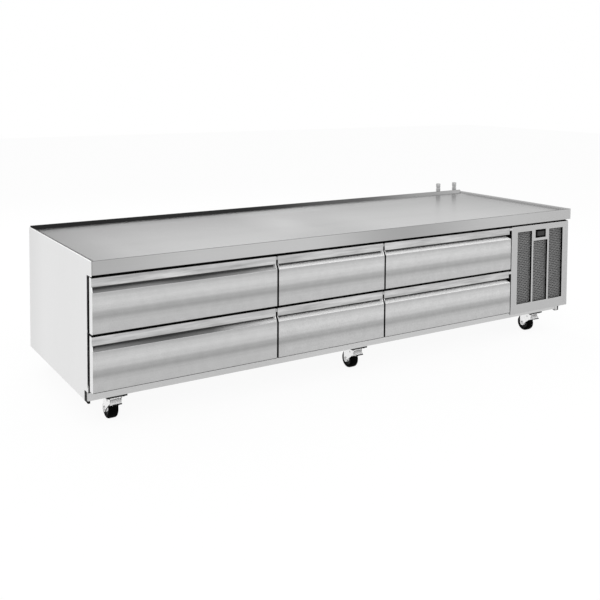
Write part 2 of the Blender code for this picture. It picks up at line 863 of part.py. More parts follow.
def make_condensing_unit():
    bay_low = cold_right + gap
    bay_high = body_right - side_sheet - gap
    tray_zs = (rail_top + gap, rail_top + gap + tray_thickness)
    tray_ys = (front + tray_setback, back_sheet_front - tray_rear_clearance)
    dress(box("machine_tray", (bay_low, bay_high), tray_ys, tray_zs), "galvanised")

    middle_x = (bay_low + bay_high) / 2
    deck = tray_zs[1] + gap
    coil_xs = (bay_low + coil_side_clearance, bay_high - coil_side_clearance)
    coil_zs = (deck, deck + coil_height)
    coil_y = front + coil_setback + coil_fin_reach + coil_core / 2
    make_coil("condenser_coil", coil_xs, coil_y, coil_zs, coil_fin_reach, coil_fin_count)

    coil_back = coil_y + coil_core / 2 + coil_fin_reach
    plate_y = coil_back + gap + shroud_depth
    fan = {
        "x": middle_x,
        "z": deck + coil_height / 2,
        "radius": min(coil_xs[1] - coil_xs[0], coil_height) / 2 - fan_margin,
        "hub_radius": hub_radius,
        "hub_length": hub_length,
        "motor_radius": motor_radius,
        "motor_length": motor_length,
        "chord": fan_blade_chord,
        "blades": fan_blade_count,
    }
    make_shroud("condenser_fan_shroud", coil_xs, coil_zs, plate_y, 1, shroud_depth, fan)
    make_fan("condenser_fan", plate_y, 1, fan)

    compressor_y = back_sheet_front - compressor_back_clearance
    compressor_x = bay_low + compressor_foot_side / 2 + gap
    make_compressor(compressor_x, compressor_y, deck)

    box_high = bay_high - gap
    pan_ys = (compressor_y - pan_depth / 2, compressor_y + pan_depth / 2)
    pan_zs = (deck, deck + pan_height)
    pan_low = compressor_x + compressor_foot_side / 2 + pan_clearance
    pan = open_tray("condensate_pan", (pan_low, box_high), pan_ys, pan_zs, pan_wall)
    dress(pan, "galvanised")

    electrical_xs = (box_high - electrical_width, box_high)
    electrical_back = pan_ys[0] - electrical_clearance
    electrical_ys = (electrical_back - electrical_depth, electrical_back)
    electrical_zs = (deck, deck + electrical_height)
    dress(box("electrical_box", electrical_xs, electrical_ys, electrical_zs), "galvanised")


def make_compressor(x, y, deck):
    """A hermetic shell on a square foot, with its terminal cover, and the suction line to the bulkhead."""
    foot_zs = (deck, deck + compressor_foot_thickness)
    half = compressor_foot_side / 2
    shell_foot = deck + compressor_foot_thickness / 2
    shell_head = shell_foot + compressor_height
    rings = [
        (shell_foot + along * compressor_height, radius * compressor_radius)
        for along, radius in shell_shares
    ]
    shell = turned("compressor", [(shell_foot, 0), *rings, (shell_head, 0)], "Z", (x, y), 24)
    smooth(shell)
    foot = box("compressor_foot", (x - half, x + half), (y - half, y + half), foot_zs)
    terminal_foot = deck + compressor_height / 2
    terminal = box(
        "compressor_terminal",
        (x - terminal_width / 2, x + terminal_width / 2),
        (y - compressor_radius - terminal_depth / 2, y - compressor_radius + terminal_depth / 2),
        (terminal_foot, terminal_foot + terminal_height),
    )
    add(shell, foot, terminal)
    dress(shell, "black_enamel")

    start = shell_head + gap
    corner = (x - suction_bend, start + suction_rise)
    bend = arc(corner, suction_bend, 0, math.pi / 2, 6)
    route = [(x, start), *bend, (cold_right + gap, corner[1] + suction_bend)]
    curve = bpy.data.curves.new("suction_line", "CURVE")
    curve.dimensions = "3D"
    curve.bevel_depth = suction_radius
    curve.bevel_resolution = 2
    curve.use_fill_caps = True
    spline = curve.splines.new("POLY")
    spline.points.add(len(route) - 1)
    for point, (u, v) in zip(spline.points, route):
        point.co = (u, y, v, 1)
    line = bpy.data.objects.new("suction_line", curve)
    bpy.context.scene.collection.objects.link(line)
    dress(line, "copper")


# Along the height and across the radius, from the foot of the shell to its crown.
shell_shares = ((0, 0.80), (0.08, 0.97), (0.16, 1), (0.62, 1), (0.78, 0.94), (0.92, 0.70), (0.98, 0.38))


def make_evaporator():
    """The coil, hood and fan on the back wall of the cold box, behind the right drawers."""
    low, high = opening_columns[2]
    middle_x = (low + high) / 2
    xs = (low + evaporator_side_clearance, high - evaporator_side_clearance)
    head = ceiling_span[0] - gap
    zs = (head - evaporator_height, head)
    coil_depth = coil_core / 2 + evaporator_fin_reach
    coil_y = cold_back - wall - gap - coil_depth
    coil_zs = (zs[0] + shroud_sheet + gap, zs[1] - shroud_sheet - gap)
    coil_xs = (xs[0] + shroud_sheet + gap, xs[1] - shroud_sheet - gap)
    make_coil("evaporator_coil", coil_xs, coil_y, coil_zs, evaporator_fin_reach, evaporator_fin_count)
    rim_y = cold_back - wall - gap
    shroud = 2 * coil_depth + evaporator_shroud_depth
    plate_y = rim_y - shroud
    fan = {
        "x": middle_x,
        "z": (zs[0] + zs[1]) / 2,
        "radius": evaporator_height / 2 - evaporator_fan_margin,
        "hub_radius": evaporator_hub_radius,
        "hub_length": evaporator_hub_length,
        "motor_radius": evaporator_motor_radius,
        "motor_length": evaporator_motor_length,
        "chord": evaporator_blade_chord,
        "blades": evaporator_blade_count,
    }
    make_shroud("evaporator_housing", xs, zs, plate_y, -1, shroud, fan)
    make_fan("evaporator_fan", plate_y, -1, fan)


def make_rear_stops():
    """Two short grooved posts on one plate behind the back lip, near the right end."""
    right_x = body_right - stop_inset + stop_spacing / 2
    left_x = right_x - stop_spacing
    plate_ys = (back + gap, back + gap + stop_plate)
    plate_xs = (left_x - stop_plate_side, right_x + stop_plate_side)
    plate_zs = (height - stop_depth_below, height + stop_plate_rise)
    bracket = box("rear_stop_bracket", plate_xs, plate_ys, plate_zs)
    y = back + stop_middle
    head = height + stop_rise
    groove = height + stop_rise / 2
    profile = [
        (height - stop_depth_below / 2, 0),
        (height - stop_depth_below / 2, stop_radius),
        (groove - stop_groove_width, stop_radius),
        (groove - stop_groove_width / 2, stop_radius - stop_groove),
        (groove + stop_groove_width / 2, stop_radius - stop_groove),
        (groove + stop_groove_width, stop_radius),
        (head - stop_groove, stop_radius),
        (head, stop_radius - stop_groove),
        (head, 0),
    ]
    for i, x in enumerate((left_x, right_x)):
        post = turned(f"rear_stop_post_{i}", profile, "Z", (x, y), 20)
        smooth(post)
        add(bracket, post)
    dress(bracket, "brushed_steel")


def make_caster(row, column, braked):
    place = f"{row}_{column}"
    x, y = caster_columns[column], caster_rows[row]
    axle_y = y + caster_trail
    crown_top = base_height - plate_thickness - gap
    crown_foot = crown_top - raceway_height - fork_sheet
    inner = wheel_width / 2 + fork_side_clearance
    outer = inner + fork_sheet

    outline = [
        (y - fork_front_reach, crown_foot + fork_sheet),
        (y - fork_front_reach, crown_foot - fork_sheet),
        *arc((axle_y, wheel_radius), fork_eye_radius, math.radians(200), math.radians(350), 6),
        (axle_y + fork_eye_radius, crown_foot - fork_sheet),
        (y + fork_back_reach, crown_foot + fork_sheet),
    ]
    fork = extruded(f"caster_fork_{place}", outline, "X", (x - outer, x + outer))
    throat = box(
        f"caster_throat_{place}",
        (x - inner, x + inner),
        (y - fork_front_reach - overrun, axle_y + fork_back_reach + overrun),
        (-overrun, crown_foot),
    )
    cut(fork, throat)
    raceway_zs = (crown_top - raceway_height - fork_sheet / 2, crown_top)
    add(fork, rod(f"caster_raceway_{place}", "Z", (x, y), raceway_radius, raceway_zs, 20))
    axle_xs = (x - outer - axle_end, x + outer + axle_end)
    add(fork, rod(f"caster_axle_{place}", "X", (axle_y, wheel_radius), axle_radius, axle_xs, 12))
    pin = (y - pedal_pin_forward, crown_foot - pedal_pin_drop)
    if braked:
        pin_xs = (x - outer, x + outer)
        add(fork, rod(f"caster_pin_{place}", "X", pin, pedal_pin_radius, pin_xs, 12))
    hinge_at(fork, (x, y, crown_top))
    dress(fork, "zinc")

    half = wheel_width / 2
    web = half - wheel_rim_depth
    bore = axle_radius + gap
    profile = [
        (x - half, bore),
        (x - half, wheel_hub_radius),
        (x - web, wheel_hub_radius),
        (x - web, wheel_rim_radius),
        (x - half, wheel_rim_radius),
        (x - half, wheel_radius - wheel_edge),
        (x - half + wheel_edge, wheel_radius),
        (x + half - wheel_edge, wheel_radius),
        (x + half, wheel_radius - wheel_edge),
        (x + half, wheel_rim_radius),
        (x + web, wheel_rim_radius),
        (x + web, wheel_hub_radius),
        (x + half, wheel_hub_radius),
        (x + half, bore),
    ]
    wheel = turned(f"caster_wheel_{place}", profile, "X", (axle_y, wheel_radius), 20, closed=True)
    smooth(wheel)
    hinge_at(wheel, (x, axle_y, wheel_radius))
    dress(wheel, "black_rubber")

    if braked:
        make_pedal(place, x, pin)


def make_pedal(place, x, pin):
    """A foot lever on the pin of the fork, with a shoe that comes down on the tread when pressed."""
    y, z = pin
    tip = (y - pedal_reach, z - pedal_fall)
    shoe_y = y - pedal_eye_radius - shoe_thickness
    slope = pedal_fall / pedal_reach
    shoe_z = z - (y - shoe_y) * slope
    outline = [
        *arc(pin, pedal_eye_radius, math.radians(-60), math.radians(100), 5),
        (tip[0], tip[1] + pedal_thickness / 2),
        (tip[0], tip[1] - pedal_thickness / 2),
        (shoe_y, shoe_z - pedal_thickness / 2),
        (shoe_y, shoe_z - shoe_drop),
        (shoe_y + shoe_thickness, shoe_z - shoe_drop),
        (shoe_y + shoe_thickness, shoe_z - pedal_thickness / 2),
    ]
    pedal_xs = (x - pedal_width / 2, x + pedal_width / 2)
    pedal = extruded(f"brake_pedal_{place}", outline, "X", pedal_xs)
    eye_xs = (pedal_xs[0] - overrun, pedal_xs[1] + overrun)
    cut(pedal, rod(f"brake_eye_{place}", "X", pin, pedal_pin_radius + gap, eye_xs, 12))
    hinge_at(pedal, (x, y, z))
    dress(pedal, "black_enamel")


make_worktop()
make_left_side_panel()
make_right_side_panel()
make_back_panel()
make_cold_box()
make_face_frame()
make_gaskets()
make_base_rail("front", front + rail_setback, 1)
make_base_rail("rear", back - rail_setback, -1)
make_uprights()
for drawer_row in range(len(row_names)):
    for drawer_column in range(len(column_names)):
        make_drawer(drawer_row, drawer_column)
make_bay_front()
make_controller()
make_condensing_unit()
make_evaporator()
make_rear_stops()
for caster_row in caster_rows:
    for caster_column in caster_columns:
        make_caster(caster_row, caster_column, caster_row == "front")

print("nodes:", sum(not obj.hide_render for obj in bpy.data.objects))
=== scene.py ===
# Refrigerated chef base on six casters: six drawers, and the machine bay at its right end.

import math

import bmesh
import bpy
from mathutils import Matrix, Vector


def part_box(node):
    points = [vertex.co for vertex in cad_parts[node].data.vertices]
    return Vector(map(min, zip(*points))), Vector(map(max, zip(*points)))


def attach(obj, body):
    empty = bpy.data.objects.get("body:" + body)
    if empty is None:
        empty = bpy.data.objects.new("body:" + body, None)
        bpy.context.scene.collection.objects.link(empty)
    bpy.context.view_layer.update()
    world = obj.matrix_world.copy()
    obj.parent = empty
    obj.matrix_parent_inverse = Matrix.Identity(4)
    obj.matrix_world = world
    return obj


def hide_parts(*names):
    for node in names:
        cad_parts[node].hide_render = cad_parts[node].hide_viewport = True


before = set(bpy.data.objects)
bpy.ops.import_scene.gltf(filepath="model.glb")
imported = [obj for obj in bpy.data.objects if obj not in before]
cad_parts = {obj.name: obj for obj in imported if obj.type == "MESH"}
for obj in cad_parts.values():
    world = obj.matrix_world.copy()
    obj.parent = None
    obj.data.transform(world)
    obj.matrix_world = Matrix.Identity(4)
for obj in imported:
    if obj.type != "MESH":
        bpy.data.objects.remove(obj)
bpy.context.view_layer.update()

for startupName in ("Cube", "Light", "Camera"):
    startupObject = bpy.data.objects.get(startupName)
    if startupObject:
        bpy.data.objects.remove(startupObject, do_unlink=True)

scene = bpy.context.scene
scene.view_settings.view_transform = "Standard"


# Camera, background and lamps

photoView = {
    "place": (-2.1596, -3.2521, 1.2321),
    "turn": 32.176,      # degrees from +Y towards +X
    "pitch": 3.2,        # degrees down
    "roll": 0.339,
    "lens": 51.23,
    "sensor": 36.0,
    "shiftY": -0.2858,
}

studio = {
    "fill": 0.66,            # the world, as the object's diffuse surfaces see it
    "floorSize": 30.0,
    "floorColour": 0.94,
    "floorSeen": 1.10,       # the same paper, as the camera and sharp reflections see it
    "floorShown": 0.92,      # how much of the floor is plain background
    "lamps": {
        "keyLamp": {"place": (-2.6, -3.4, 3.4), "size": 5.5, "power": 80},
        "fillLamp": {"place": (3.6, -2.2, 2.6), "size": 3.8, "power": 40},
        "backLamp": {"place": (0.4, 3.2, 3.2), "size": 3.8, "power": 45},
    },
    "aim": (0.0, 0.0, 0.3),
}


def setInputs(tree, made, inputs):      # each input is linked to a socket, or set to a value
    for title, value in inputs.items():
        if isinstance(value, bpy.types.NodeSocket):
            tree.links.new(value, made.inputs[title])
        else:
            made.inputs[title].default_value = value
    return made


def addNode(tree, kind, inputs=None, **settings):
    made = tree.nodes.new("ShaderNode" + kind)
    for setting, value in settings.items():
        setattr(made, setting, value)
    return setInputs(tree, made, inputs or {})


def calculate(tree, operation, first, second=0.0, clamp=False):
    return addNode(tree, "Math", {0: first, 1: second}, operation=operation, use_clamp=clamp).outputs[0]


def plus(tree, first, second):
    return calculate(tree, "ADD", first, second)


def minus(tree, first, second):
    return calculate(tree, "SUBTRACT", first, second)


def times(tree, first, second, clamp=False):
    return calculate(tree, "MULTIPLY", first, second, clamp)


def multiplied(tree, first, second):      # of a vector or colour and another, or a value
    return addNode(tree, "VectorMath", {0: first, 1: second}, operation="MULTIPLY").outputs[0]


def seenDirectly(tree):      # 1 for the rays that should meet the plain white background
    paths = addNode(tree, "LightPath")
    sharp = calculate(tree, "MAXIMUM", paths.outputs["Is Camera Ray"], paths.outputs["Is Glossy Ray"])
    return calculate(tree, "MAXIMUM", sharp, paths.outputs["Is Transmission Ray"])


def buildCamera():
    data = bpy.data.cameras.new("photoCamera")
    data.lens = photoView["lens"]
    data.sensor_width = photoView["sensor"]
    data.shift_y = photoView["shiftY"]
    camera = bpy.data.objects.new("photoCamera", data)
    turn = Matrix.Rotation(-math.radians(photoView["turn"]), 4, "Z")
    tilt = Matrix.Rotation(math.radians(90 - photoView["pitch"]), 4, "X")
    roll = Matrix.Rotation(math.radians(photoView["roll"]), 4, "Z")
    camera.matrix_world = Matrix.Translation(photoView["place"]) @ turn @ tilt @ roll
    scene.collection.objects.link(camera)
    scene.camera = camera


def buildWorld():
    world = bpy.data.worlds.new("studioWorld")
    scene.world = world
    world.use_nodes = True
    tree = world.node_tree
    tree.nodes.clear()
    lighting = addNode(tree, "Background", {"Color": (1, 1, 1, 1), "Strength": studio["fill"]})
    shown = addNode(tree, "Background", {"Color": (1, 1, 1, 1), "Strength": 1.0})
    mixed = addNode(tree, "MixShader", {0: seenDirectly(tree), 1: lighting.outputs[0], 2: shown.outputs[0]})
    addNode(tree, "OutputWorld", {"Surface": mixed.outputs[0]})


def buildFloor():
    half = studio["floorSize"] / 2
    mesh = bpy.data.meshes.new("studioFloor")
    corners = [(x * half, y * half, 0) for x, y in ((-1, -1), (1, -1), (1, 1), (-1, 1))]
    mesh.from_pydata(corners, [], [(0, 1, 2, 3)])
    floor = bpy.data.objects.new("studioFloor", mesh)
    scene.collection.objects.link(floor)
    material = bpy.data.materials.new("floorPaper")
    material.use_nodes = True
    tree = material.node_tree
    tree.nodes.clear()
    seen = seenDirectly(tree)
    colour = times(tree, seen, studio["floorSeen"] - studio["floorColour"])
    paper = addNode(tree, "BsdfDiffuse", {"Color": plus(tree, colour, studio["floorColour"])})
    plain = addNode(tree, "Emission", {"Color": (1, 1, 1, 1), "Strength": 1.0})
    share = times(tree, seen, studio["floorShown"])
    mixed = addNode(tree, "MixShader", {0: share, 1: paper.outputs[0], 2: plain.outputs[0]})
    addNode(tree, "OutputMaterial", {"Surface": mixed.outputs[0]})
    mesh.materials.append(material)


def buildLamps():
    for name, lamp in studio["lamps"].items():
        data = bpy.data.lights.new(name, "AREA")
        data.size = lamp["size"]
        data.energy = lamp["power"]
        light = bpy.data.objects.new(name, data)
        light.location = lamp["place"]
        facing = Vector(studio["aim"]) - Vector(lamp["place"])
        light.rotation_euler = facing.to_track_quat("-Z", "Y").to_euler()
        scene.collection.objects.link(light)


buildCamera()
buildWorld()
buildFloor()
buildLamps()
print("studio: camera, world, floor and", len(studio["lamps"]), "lamps")


# Shared effects, each a node group that every material places with its own values

def startGroup(name, values, *outputs, placed=True):      # a placed effect also takes a Coordinate
    tree = bpy.data.node_groups.new(name, "ShaderNodeTree")
    if placed:
        tree.interface.new_socket("Coordinate", in_out="INPUT", socket_type="NodeSocketVector")
    for title, value in values.items():
        kind = "NodeSocketVector" if isinstance(value, tuple) else "NodeSocketFloat"
        tree.interface.new_socket(title, in_out="INPUT", socket_type=kind).default_value = value
    for title in outputs:
        tree.interface.new_socket(title, in_out="OUTPUT", socket_type="NodeSocketFloat")
    return tree, tree.nodes.new("NodeGroupInput").outputs, tree.nodes.new("NodeGroupOutput").inputs


def scaledNoise(tree, coordinate, scale, detail, roughness):
    inputs = {"Vector": coordinate, "Scale": scale, "Detail": detail, "Roughness": roughness}
    return addNode(tree, "TexNoise", inputs).outputs[0]


def swung(tree, value, depth):      # a value about 0.5 becomes a swing of this depth about 0
    return times(tree, minus(tree, value, 0.5), depth)


def makeBrushedGrainAndSheen():      # long scratches, and where deep and broad, painted reflection streaks: Stretch is how many run across a metre, along each axis
    values = {"Stretch": (4, 500, 500), "Depth": 0.06}
    tree, given, result = startGroup("brushedGrainAndSheen", values, "Tone", "Height")
    lines = scaledNoise(tree, multiplied(tree, given["Coordinate"], given["Stretch"]), 1.0, 4.0, 0.65)
    swing = swung(tree, lines, times(tree, given["Depth"], 2.0))
    tree.links.new(plus(tree, swing, 1.0), result["Tone"])
    tree.links.new(lines, result["Height"])
    return tree


def makeMottle():      # the cloudy fine speckle of rolled sheet
    tree, given, result = startGroup("mottle", {"Grains": 260.0, "Depth": 0.05}, "Tone")
    fine = scaledNoise(tree, given["Coordinate"], given["Grains"], 2.0, 0.7)
    broad = scaledNoise(tree, given["Coordinate"], times(tree, given["Grains"], 0.11), 2.0, 0.5)
    both = plus(tree, minus(tree, fine, 0.5), swung(tree, broad, 0.35))
    tree.links.new(plus(tree, times(tree, both, given["Depth"]), 1.0), result["Tone"])
    return tree


def makeEdgeWear():      # 1 on outer and inner edges, 0 on open faces
    tree, given, result = startGroup("edgeWear", {"Reach": 0.002, "Strength": 4.0}, "Mask", placed=False)
    rounded = addNode(tree, "Bevel", {"Radius": given["Reach"]}, samples=4).outputs[0]
    plain = addNode(tree, "NewGeometry").outputs["Normal"]
    alike = addNode(tree, "VectorMath", {0: rounded, 1: plain}, operation="DOT_PRODUCT").outputs["Value"]
    apart = minus(tree, 1.0, alike)
    tree.links.new(times(tree, apart, given["Strength"], clamp=True), result["Mask"])
    return tree


def makeSmudges():      # broad, uneven patches of wiping and handling, about 0
    tree, given, result = startGroup("smudges", {"Patches": 6.0, "Depth": 0.05}, "Value")
    patches = scaledNoise(tree, given["Coordinate"], given["Patches"], 3.0, 0.55)
    tree.links.new(swung(tree, patches, given["Depth"]), result["Value"])
    return tree


def makeDust():      # settles on what faces up
    tree, given, result = startGroup("dust", {"Grains": 900.0, "Amount": 0.1}, "Mask")
    upright = addNode(tree, "SeparateXYZ", {0: addNode(tree, "NewGeometry").outputs["Normal"]})
    facing = calculate(tree, "MAXIMUM", upright.outputs["Z"], 0.0)
    specks = scaledNoise(tree, given["Coordinate"], given["Grains"], 2.0, 0.8)
    settled = times(tree, facing, specks)
    tree.links.new(times(tree, settled, given["Amount"], clamp=True), result["Mask"])
    return tree


def makeSpangle():      # the crystal flakes of galvanised sheet
    tree, given, result = startGroup("spangle", {"Flakes": 90.0, "Depth": 0.12}, "Tone")
    flakes = addNode(tree, "TexVoronoi", {"Vector": given["Coordinate"], "Scale": given["Flakes"]})
    shade = addNode(tree, "SeparateColor", {0: flakes.outputs["Color"]})
    swing = swung(tree, shade.outputs[0], given["Depth"])
    tree.links.new(plus(tree, swing, 1.0), result["Tone"])
    return tree


effects = {
    "grain": makeBrushedGrainAndSheen(),
    "mottle": makeMottle(),
    "wear": makeEdgeWear(),
    "smudges": makeSmudges(),
    "dust": makeDust(),
    "spangle": makeSpangle(),
}
print("effects:", ", ".join(effects))


def useEffect(tree, effect, coordinate=None, **values):
    made = tree.nodes.new("ShaderNodeGroup")
    made.node_tree = effects[effect]
    if coordinate is not None:
        values["Coordinate"] = coordinate
    return setInputs(tree, made, values).outputs


# Materials. Tones are display greys from 0 to 255, as they should look under the plain light. Many of the
# ramps, and the darkest and brightest tones below, are painted light: painted shade, painted highlights and
# painted reflections.

def linear(display):
    share = display / 255
    return share / 12.92 if share <= 0.04045 else ((share + 0.055) / 1.055) ** 2.4


def grey(display):
    return (linear(display),) * 3 + (1,)


def toneRamp(tree, coordinate, axis, stops):      # stops are (place along the axis in metres, display grey)
    parts = addNode(tree, "SeparateXYZ", {0: coordinate})
    start, end = stops[0][0], stops[-1][0]
    along = addNode(tree, "MapRange", {0: parts.outputs[axis], 1: start, 2: end})
    ramp = addNode(tree, "ValToRGB", {0: along.outputs[0]})
    ramp.color_ramp.interpolation = "EASE"
    elements = ramp.color_ramp.elements
    while len(elements) < len(stops):
        elements.new(0.5)
    for element, (place, display) in zip(elements, stops):
        element.position = (place - start) / (end - start)
        element.color = grey(display)
    return ramp.outputs[0]


def startMaterial(name):
    material = bpy.data.materials.new(name)
    material.use_nodes = True
    tree = material.node_tree
    return material, tree, tree.nodes["Principled BSDF"], addNode(tree, "TexCoord").outputs["Object"]


def blended(tree, factor, first, second):
    return addNode(tree, "Mix", {"Factor": factor, 6: first, 7: second}, data_type="RGBA").outputs[2]


def withWear(tree, colour, look):      # another tone where the edges are rubbed
    if not look["wear"]:
        return colour
    mask = useEffect(tree, "wear", Reach=look["wearReach"], Strength=look["wear"])["Mask"]
    return blended(tree, mask, colour, grey(look["edgeTone"]))


def finishSurface(tree, coordinate, shader, look, height, strength):      # its roughness and its relief
    patchy = useEffect(tree, "smudges", coordinate, Patches=look["patches"], Depth=look["uneven"])
    bump = addNode(tree, "Bump", {"Height": height, "Distance": look["relief"], "Strength": strength})
    roughness = plus(tree, patchy["Value"], look["roughness"])
    setInputs(tree, shader, {"Roughness": roughness, "Normal": bump.outputs[0]})


def steel(tone, grain=0.05, mottle=0.05, roughness=0.34, glance=0.8, **more):      # tone: one grey, or ramps, which here mostly carry painted reflections and shade
    look = {"tone": tone, "grain": grain, "mottle": mottle, "roughness": roughness, "glance": glance}
    usual = {"stretch": (3, 420, 420), "flakes": 0.0, "grains": 260.0, "metallic": 1.0, "uneven": 0.06,
             "patches": 6.0, "relief": 0.00004, "wear": 0.0, "wearReach": 0.0015, "edgeTone": 238}
    return {**look, **usual, **more}


def sheetMetal(name, look):
    material, tree, shader, coordinate = startMaterial(name)
    if isinstance(look["tone"], dict):
        ramps = [toneRamp(tree, coordinate, axis, stops) for axis, stops in look["tone"].items()]
        tone = ramps[0] if len(ramps) == 1 else multiplied(tree, *ramps)
    else:
        tone = grey(look["tone"])[:3]
    own = coordinate
    if look["flakes"]:
        grain = useEffect(tree, "spangle", own, Flakes=look["flakes"], Depth=look["grain"])
        height, strength = grain["Tone"], 0.3
    else:      # each piece has its own stretch of grain
        chance = times(tree, addNode(tree, "ObjectInfo").outputs["Random"], 9.0)
        own = addNode(tree, "VectorMath", {0: coordinate, 1: chance}, operation="ADD").outputs[0]
        grain = useEffect(tree, "grain", own, Stretch=look["stretch"], Depth=look["grain"])
        height, strength = grain["Height"], 0.4
    mottle = useEffect(tree, "mottle", own, Grains=look["grains"], Depth=look["mottle"])
    tone = multiplied(tree, tone, times(tree, grain["Tone"], mottle["Tone"]))
    setInputs(tree, shader, {"Base Color": withWear(tree, tone, look), "Metallic": look["metallic"],
                             "Specular Tint": (look["glance"],) * 3 + (1,)})
    finishSurface(tree, coordinate, shader, look, height, strength)
    return material


def moulding(tone, roughness, gloss=0.5, dust=0.05, **more):      # plastic, rubber or enamel, and flat black that stands in for shade
    look = {"tone": tone, "roughness": roughness, "gloss": gloss, "dust": dust}
    usual = {"tint": (1, 1, 1), "grains": 700.0, "mottle": 0.10, "streaks": None, "streakDepth": 0.22,
             "dustColour": (0.42, 0.41, 0.40, 1), "metallic": 0.0, "uneven": 0.10, "patches": 25.0,
             "texture": 1400.0, "relief": 0.0001, "wear": 0.0, "wearReach": 0.001, "edgeTone": 120}
    return {**look, **usual, **more}


def moulded(name, look):
    material, tree, shader, coordinate = startMaterial(name)
    mottle = useEffect(tree, "mottle", coordinate, Grains=look["grains"], Depth=look["mottle"])
    colour = multiplied(tree, tuple(linear(look["tone"]) * part for part in look["tint"]), mottle["Tone"])
    if look["streaks"]:
        streaks = useEffect(tree, "grain", coordinate, Stretch=look["streaks"], Depth=look["streakDepth"])
        colour = multiplied(tree, colour, streaks["Tone"])
    dust = useEffect(tree, "dust", coordinate, Amount=look["dust"])["Mask"]
    dusted = blended(tree, dust, colour, look["dustColour"])
    setInputs(tree, shader, {"Base Color": withWear(tree, dusted, look), "Metallic": look["metallic"],
                             "Specular IOR Level": look["gloss"]})
    height = scaledNoise(tree, coordinate, look["texture"], 2.0, 0.6)
    finishSurface(tree, coordinate, shader, look, height, 0.35)
    return material


def displayGlass(name):
    material, tree, shader, coordinate = startMaterial(name)
    smears = useEffect(tree, "smudges", coordinate, Patches=60.0, Depth=0.02)
    dulled = useEffect(tree, "smudges", coordinate, Patches=40.0, Depth=0.10)
    setInputs(tree, shader, {
        "Base Color": plus(tree, smears["Value"], linear(48)), "Roughness": plus(tree, dulled["Value"], 0.20),
        "Specular IOR Level": 0.15, "Coat Weight": 0.10, "Coat Roughness": 0.08})
    return material


steels = {
    # the top's two ramps are painted reflections and shade: dark at the far left, light towards the right and
    # just in front of the back lip
    "worktopSteelSheen": steel({
        "Y": [(-0.41, 206), (-0.25, 203), (-0.10, 196), (0.20, 181), (0.28, 190), (0.33, 226), (0.37, 252)],
        "X": [(-1.22, 148), (-1.00, 184), (-0.80, 193), (-0.40, 192), (-0.15, 219), (0.20, 247), (0.60, 245),
              (1.22, 216)],
    }, 0.05, 0.03, 0.25, 0.85, stretch=(3, 360, 360), uneven=0.04),
    # a painted dark reflection along the top's front crease and the left rim's crest
    "creaseShade": steel(84, 0.04, 0.03, 0.45, 0.5),
    # the front band's ramp along its length is painted reflection
    "worktopBandSheen": steel({
        "X": [(-1.22, 178), (-0.80, 196), (-0.36, 197), (0.17, 166), (0.74, 189), (1.22, 184)],
    }, 0.05, 0.04, 0.36, 0.75, wear=5.0),
    "worktopRim": steel(182, 0.04, 0.03, 0.30, 0.70, wear=4.0, edgeTone=225),
    # the back lip's inner face: painted dark reflection, lighter towards the right
    "backLipShade": steel({
        "X": [(-1.22, 40), (-0.20, 46), (0.45, 95), (0.95, 150), (1.22, 165)],
    }, 0.06, 0.04, 0.30, 0.6),
    # the light and dark bands up each drawer panel are painted reflections
    "panelSteelSheen": steel({
        "Z": [(0.0, 188), (0.016, 192), (0.034, 192), (0.047, 184), (0.062, 165), (0.074, 174), (0.090, 199),
              (0.110, 209), (0.125, 202), (0.1445, 182)],
    }, 0.05, 0.42, 0.36, 0.75, grains=270.0),
    # its deep, broad grain is painted reflection streaks along the bands
    "drawerBandSheen": steel(193, 0.75, stretch=(5.0, 30, 60)),
    # painted shade inside the recessed pulls
    "pocketShadeSteel": steel(84, 0.05, 0.05, 0.55, 0.6, metallic=0.0),
    # the left column's lips: painted reflection, darker to the left, and on the lower lip a painted highlight
    # along its top edge
    "lipReflectionUpper": steel({
        "X": [(0.0, 130), (0.20, 146), (0.36, 118), (0.55, 140), (0.74, 185)],
    }, 0.05, 0.04, 0.55, 0.7, metallic=0.0),
    "lipReflectionLower": steel({
        "X": [(0.0, 150), (0.28, 112), (0.45, 128), (0.58, 205), (0.74, 246)],
        "Z": [(0.1435, 170), (0.1470, 190), (0.1485, 255), (0.1560, 255)],
    }, 0.05, 0.04, 0.55, 0.7, metallic=0.0),
    # painted highlight of the lips that face up, and of the pockets' inner end caps
    "lipHighlight": steel(252, 0.02, 0.01, 0.60, 0.95, metallic=0.0),
    # painted shade: the fronts' ends beside the gaps, and their top faces under the gaps
    "gapShadeSteel": steel(84, 0.05, 0.04, 0.40, 0.4),
    "capSteel": steel(236, 0.03, 0.03, 0.32, 0.95),
    # the side's ramp darkens towards the back: painted shade
    "sideSteel": steel({
        "Y": [(-0.41, 237), (-0.10, 236), (0.15, 237), (0.39, 230)],
    }, 0.03, 0.02, 0.38, 0.9, stretch=(420, 420, 3)),
    "bayFrame": steel(188, 0.05, 0.14, 0.36, 0.75, wear=4.0),
    "railSteel": steel(203, 0.05, 0.06, 0.38, 0.75),
    "drawerSteel": steel(205, wear=3.0),
    "linerSheet": steel(200, 0.06, 0.05, 0.45, stretch=(200, 200, 200)),
    "postSteel": steel(176, 0.06, 0.04, 0.26, stretch=(300, 300, 300), wear=3.0),
    "casterZinc": steel(244, 0.08, 0.05, 0.24, 0.95, stretch=(160, 160, 160), wear=3.0, edgeTone=250),
    "pedalZinc": steel(250, 0.05, 0.04, 0.40, 0.95, stretch=(160, 160, 160), metallic=0.0),
    "boltZinc": steel(205, 0.12, 0.06, 0.28, stretch=(500, 500, 500), wear=5.0),
    "coilFins": steel(190, 0.12, 0.08, 0.42, stretch=(300, 300, 60)),
    "galvanisedSheet": steel(186, 0.16, 0.08, 0.42, flakes=95.0, grains=420.0, uneven=0.10, patches=9.0,
                             relief=0.00006),
}

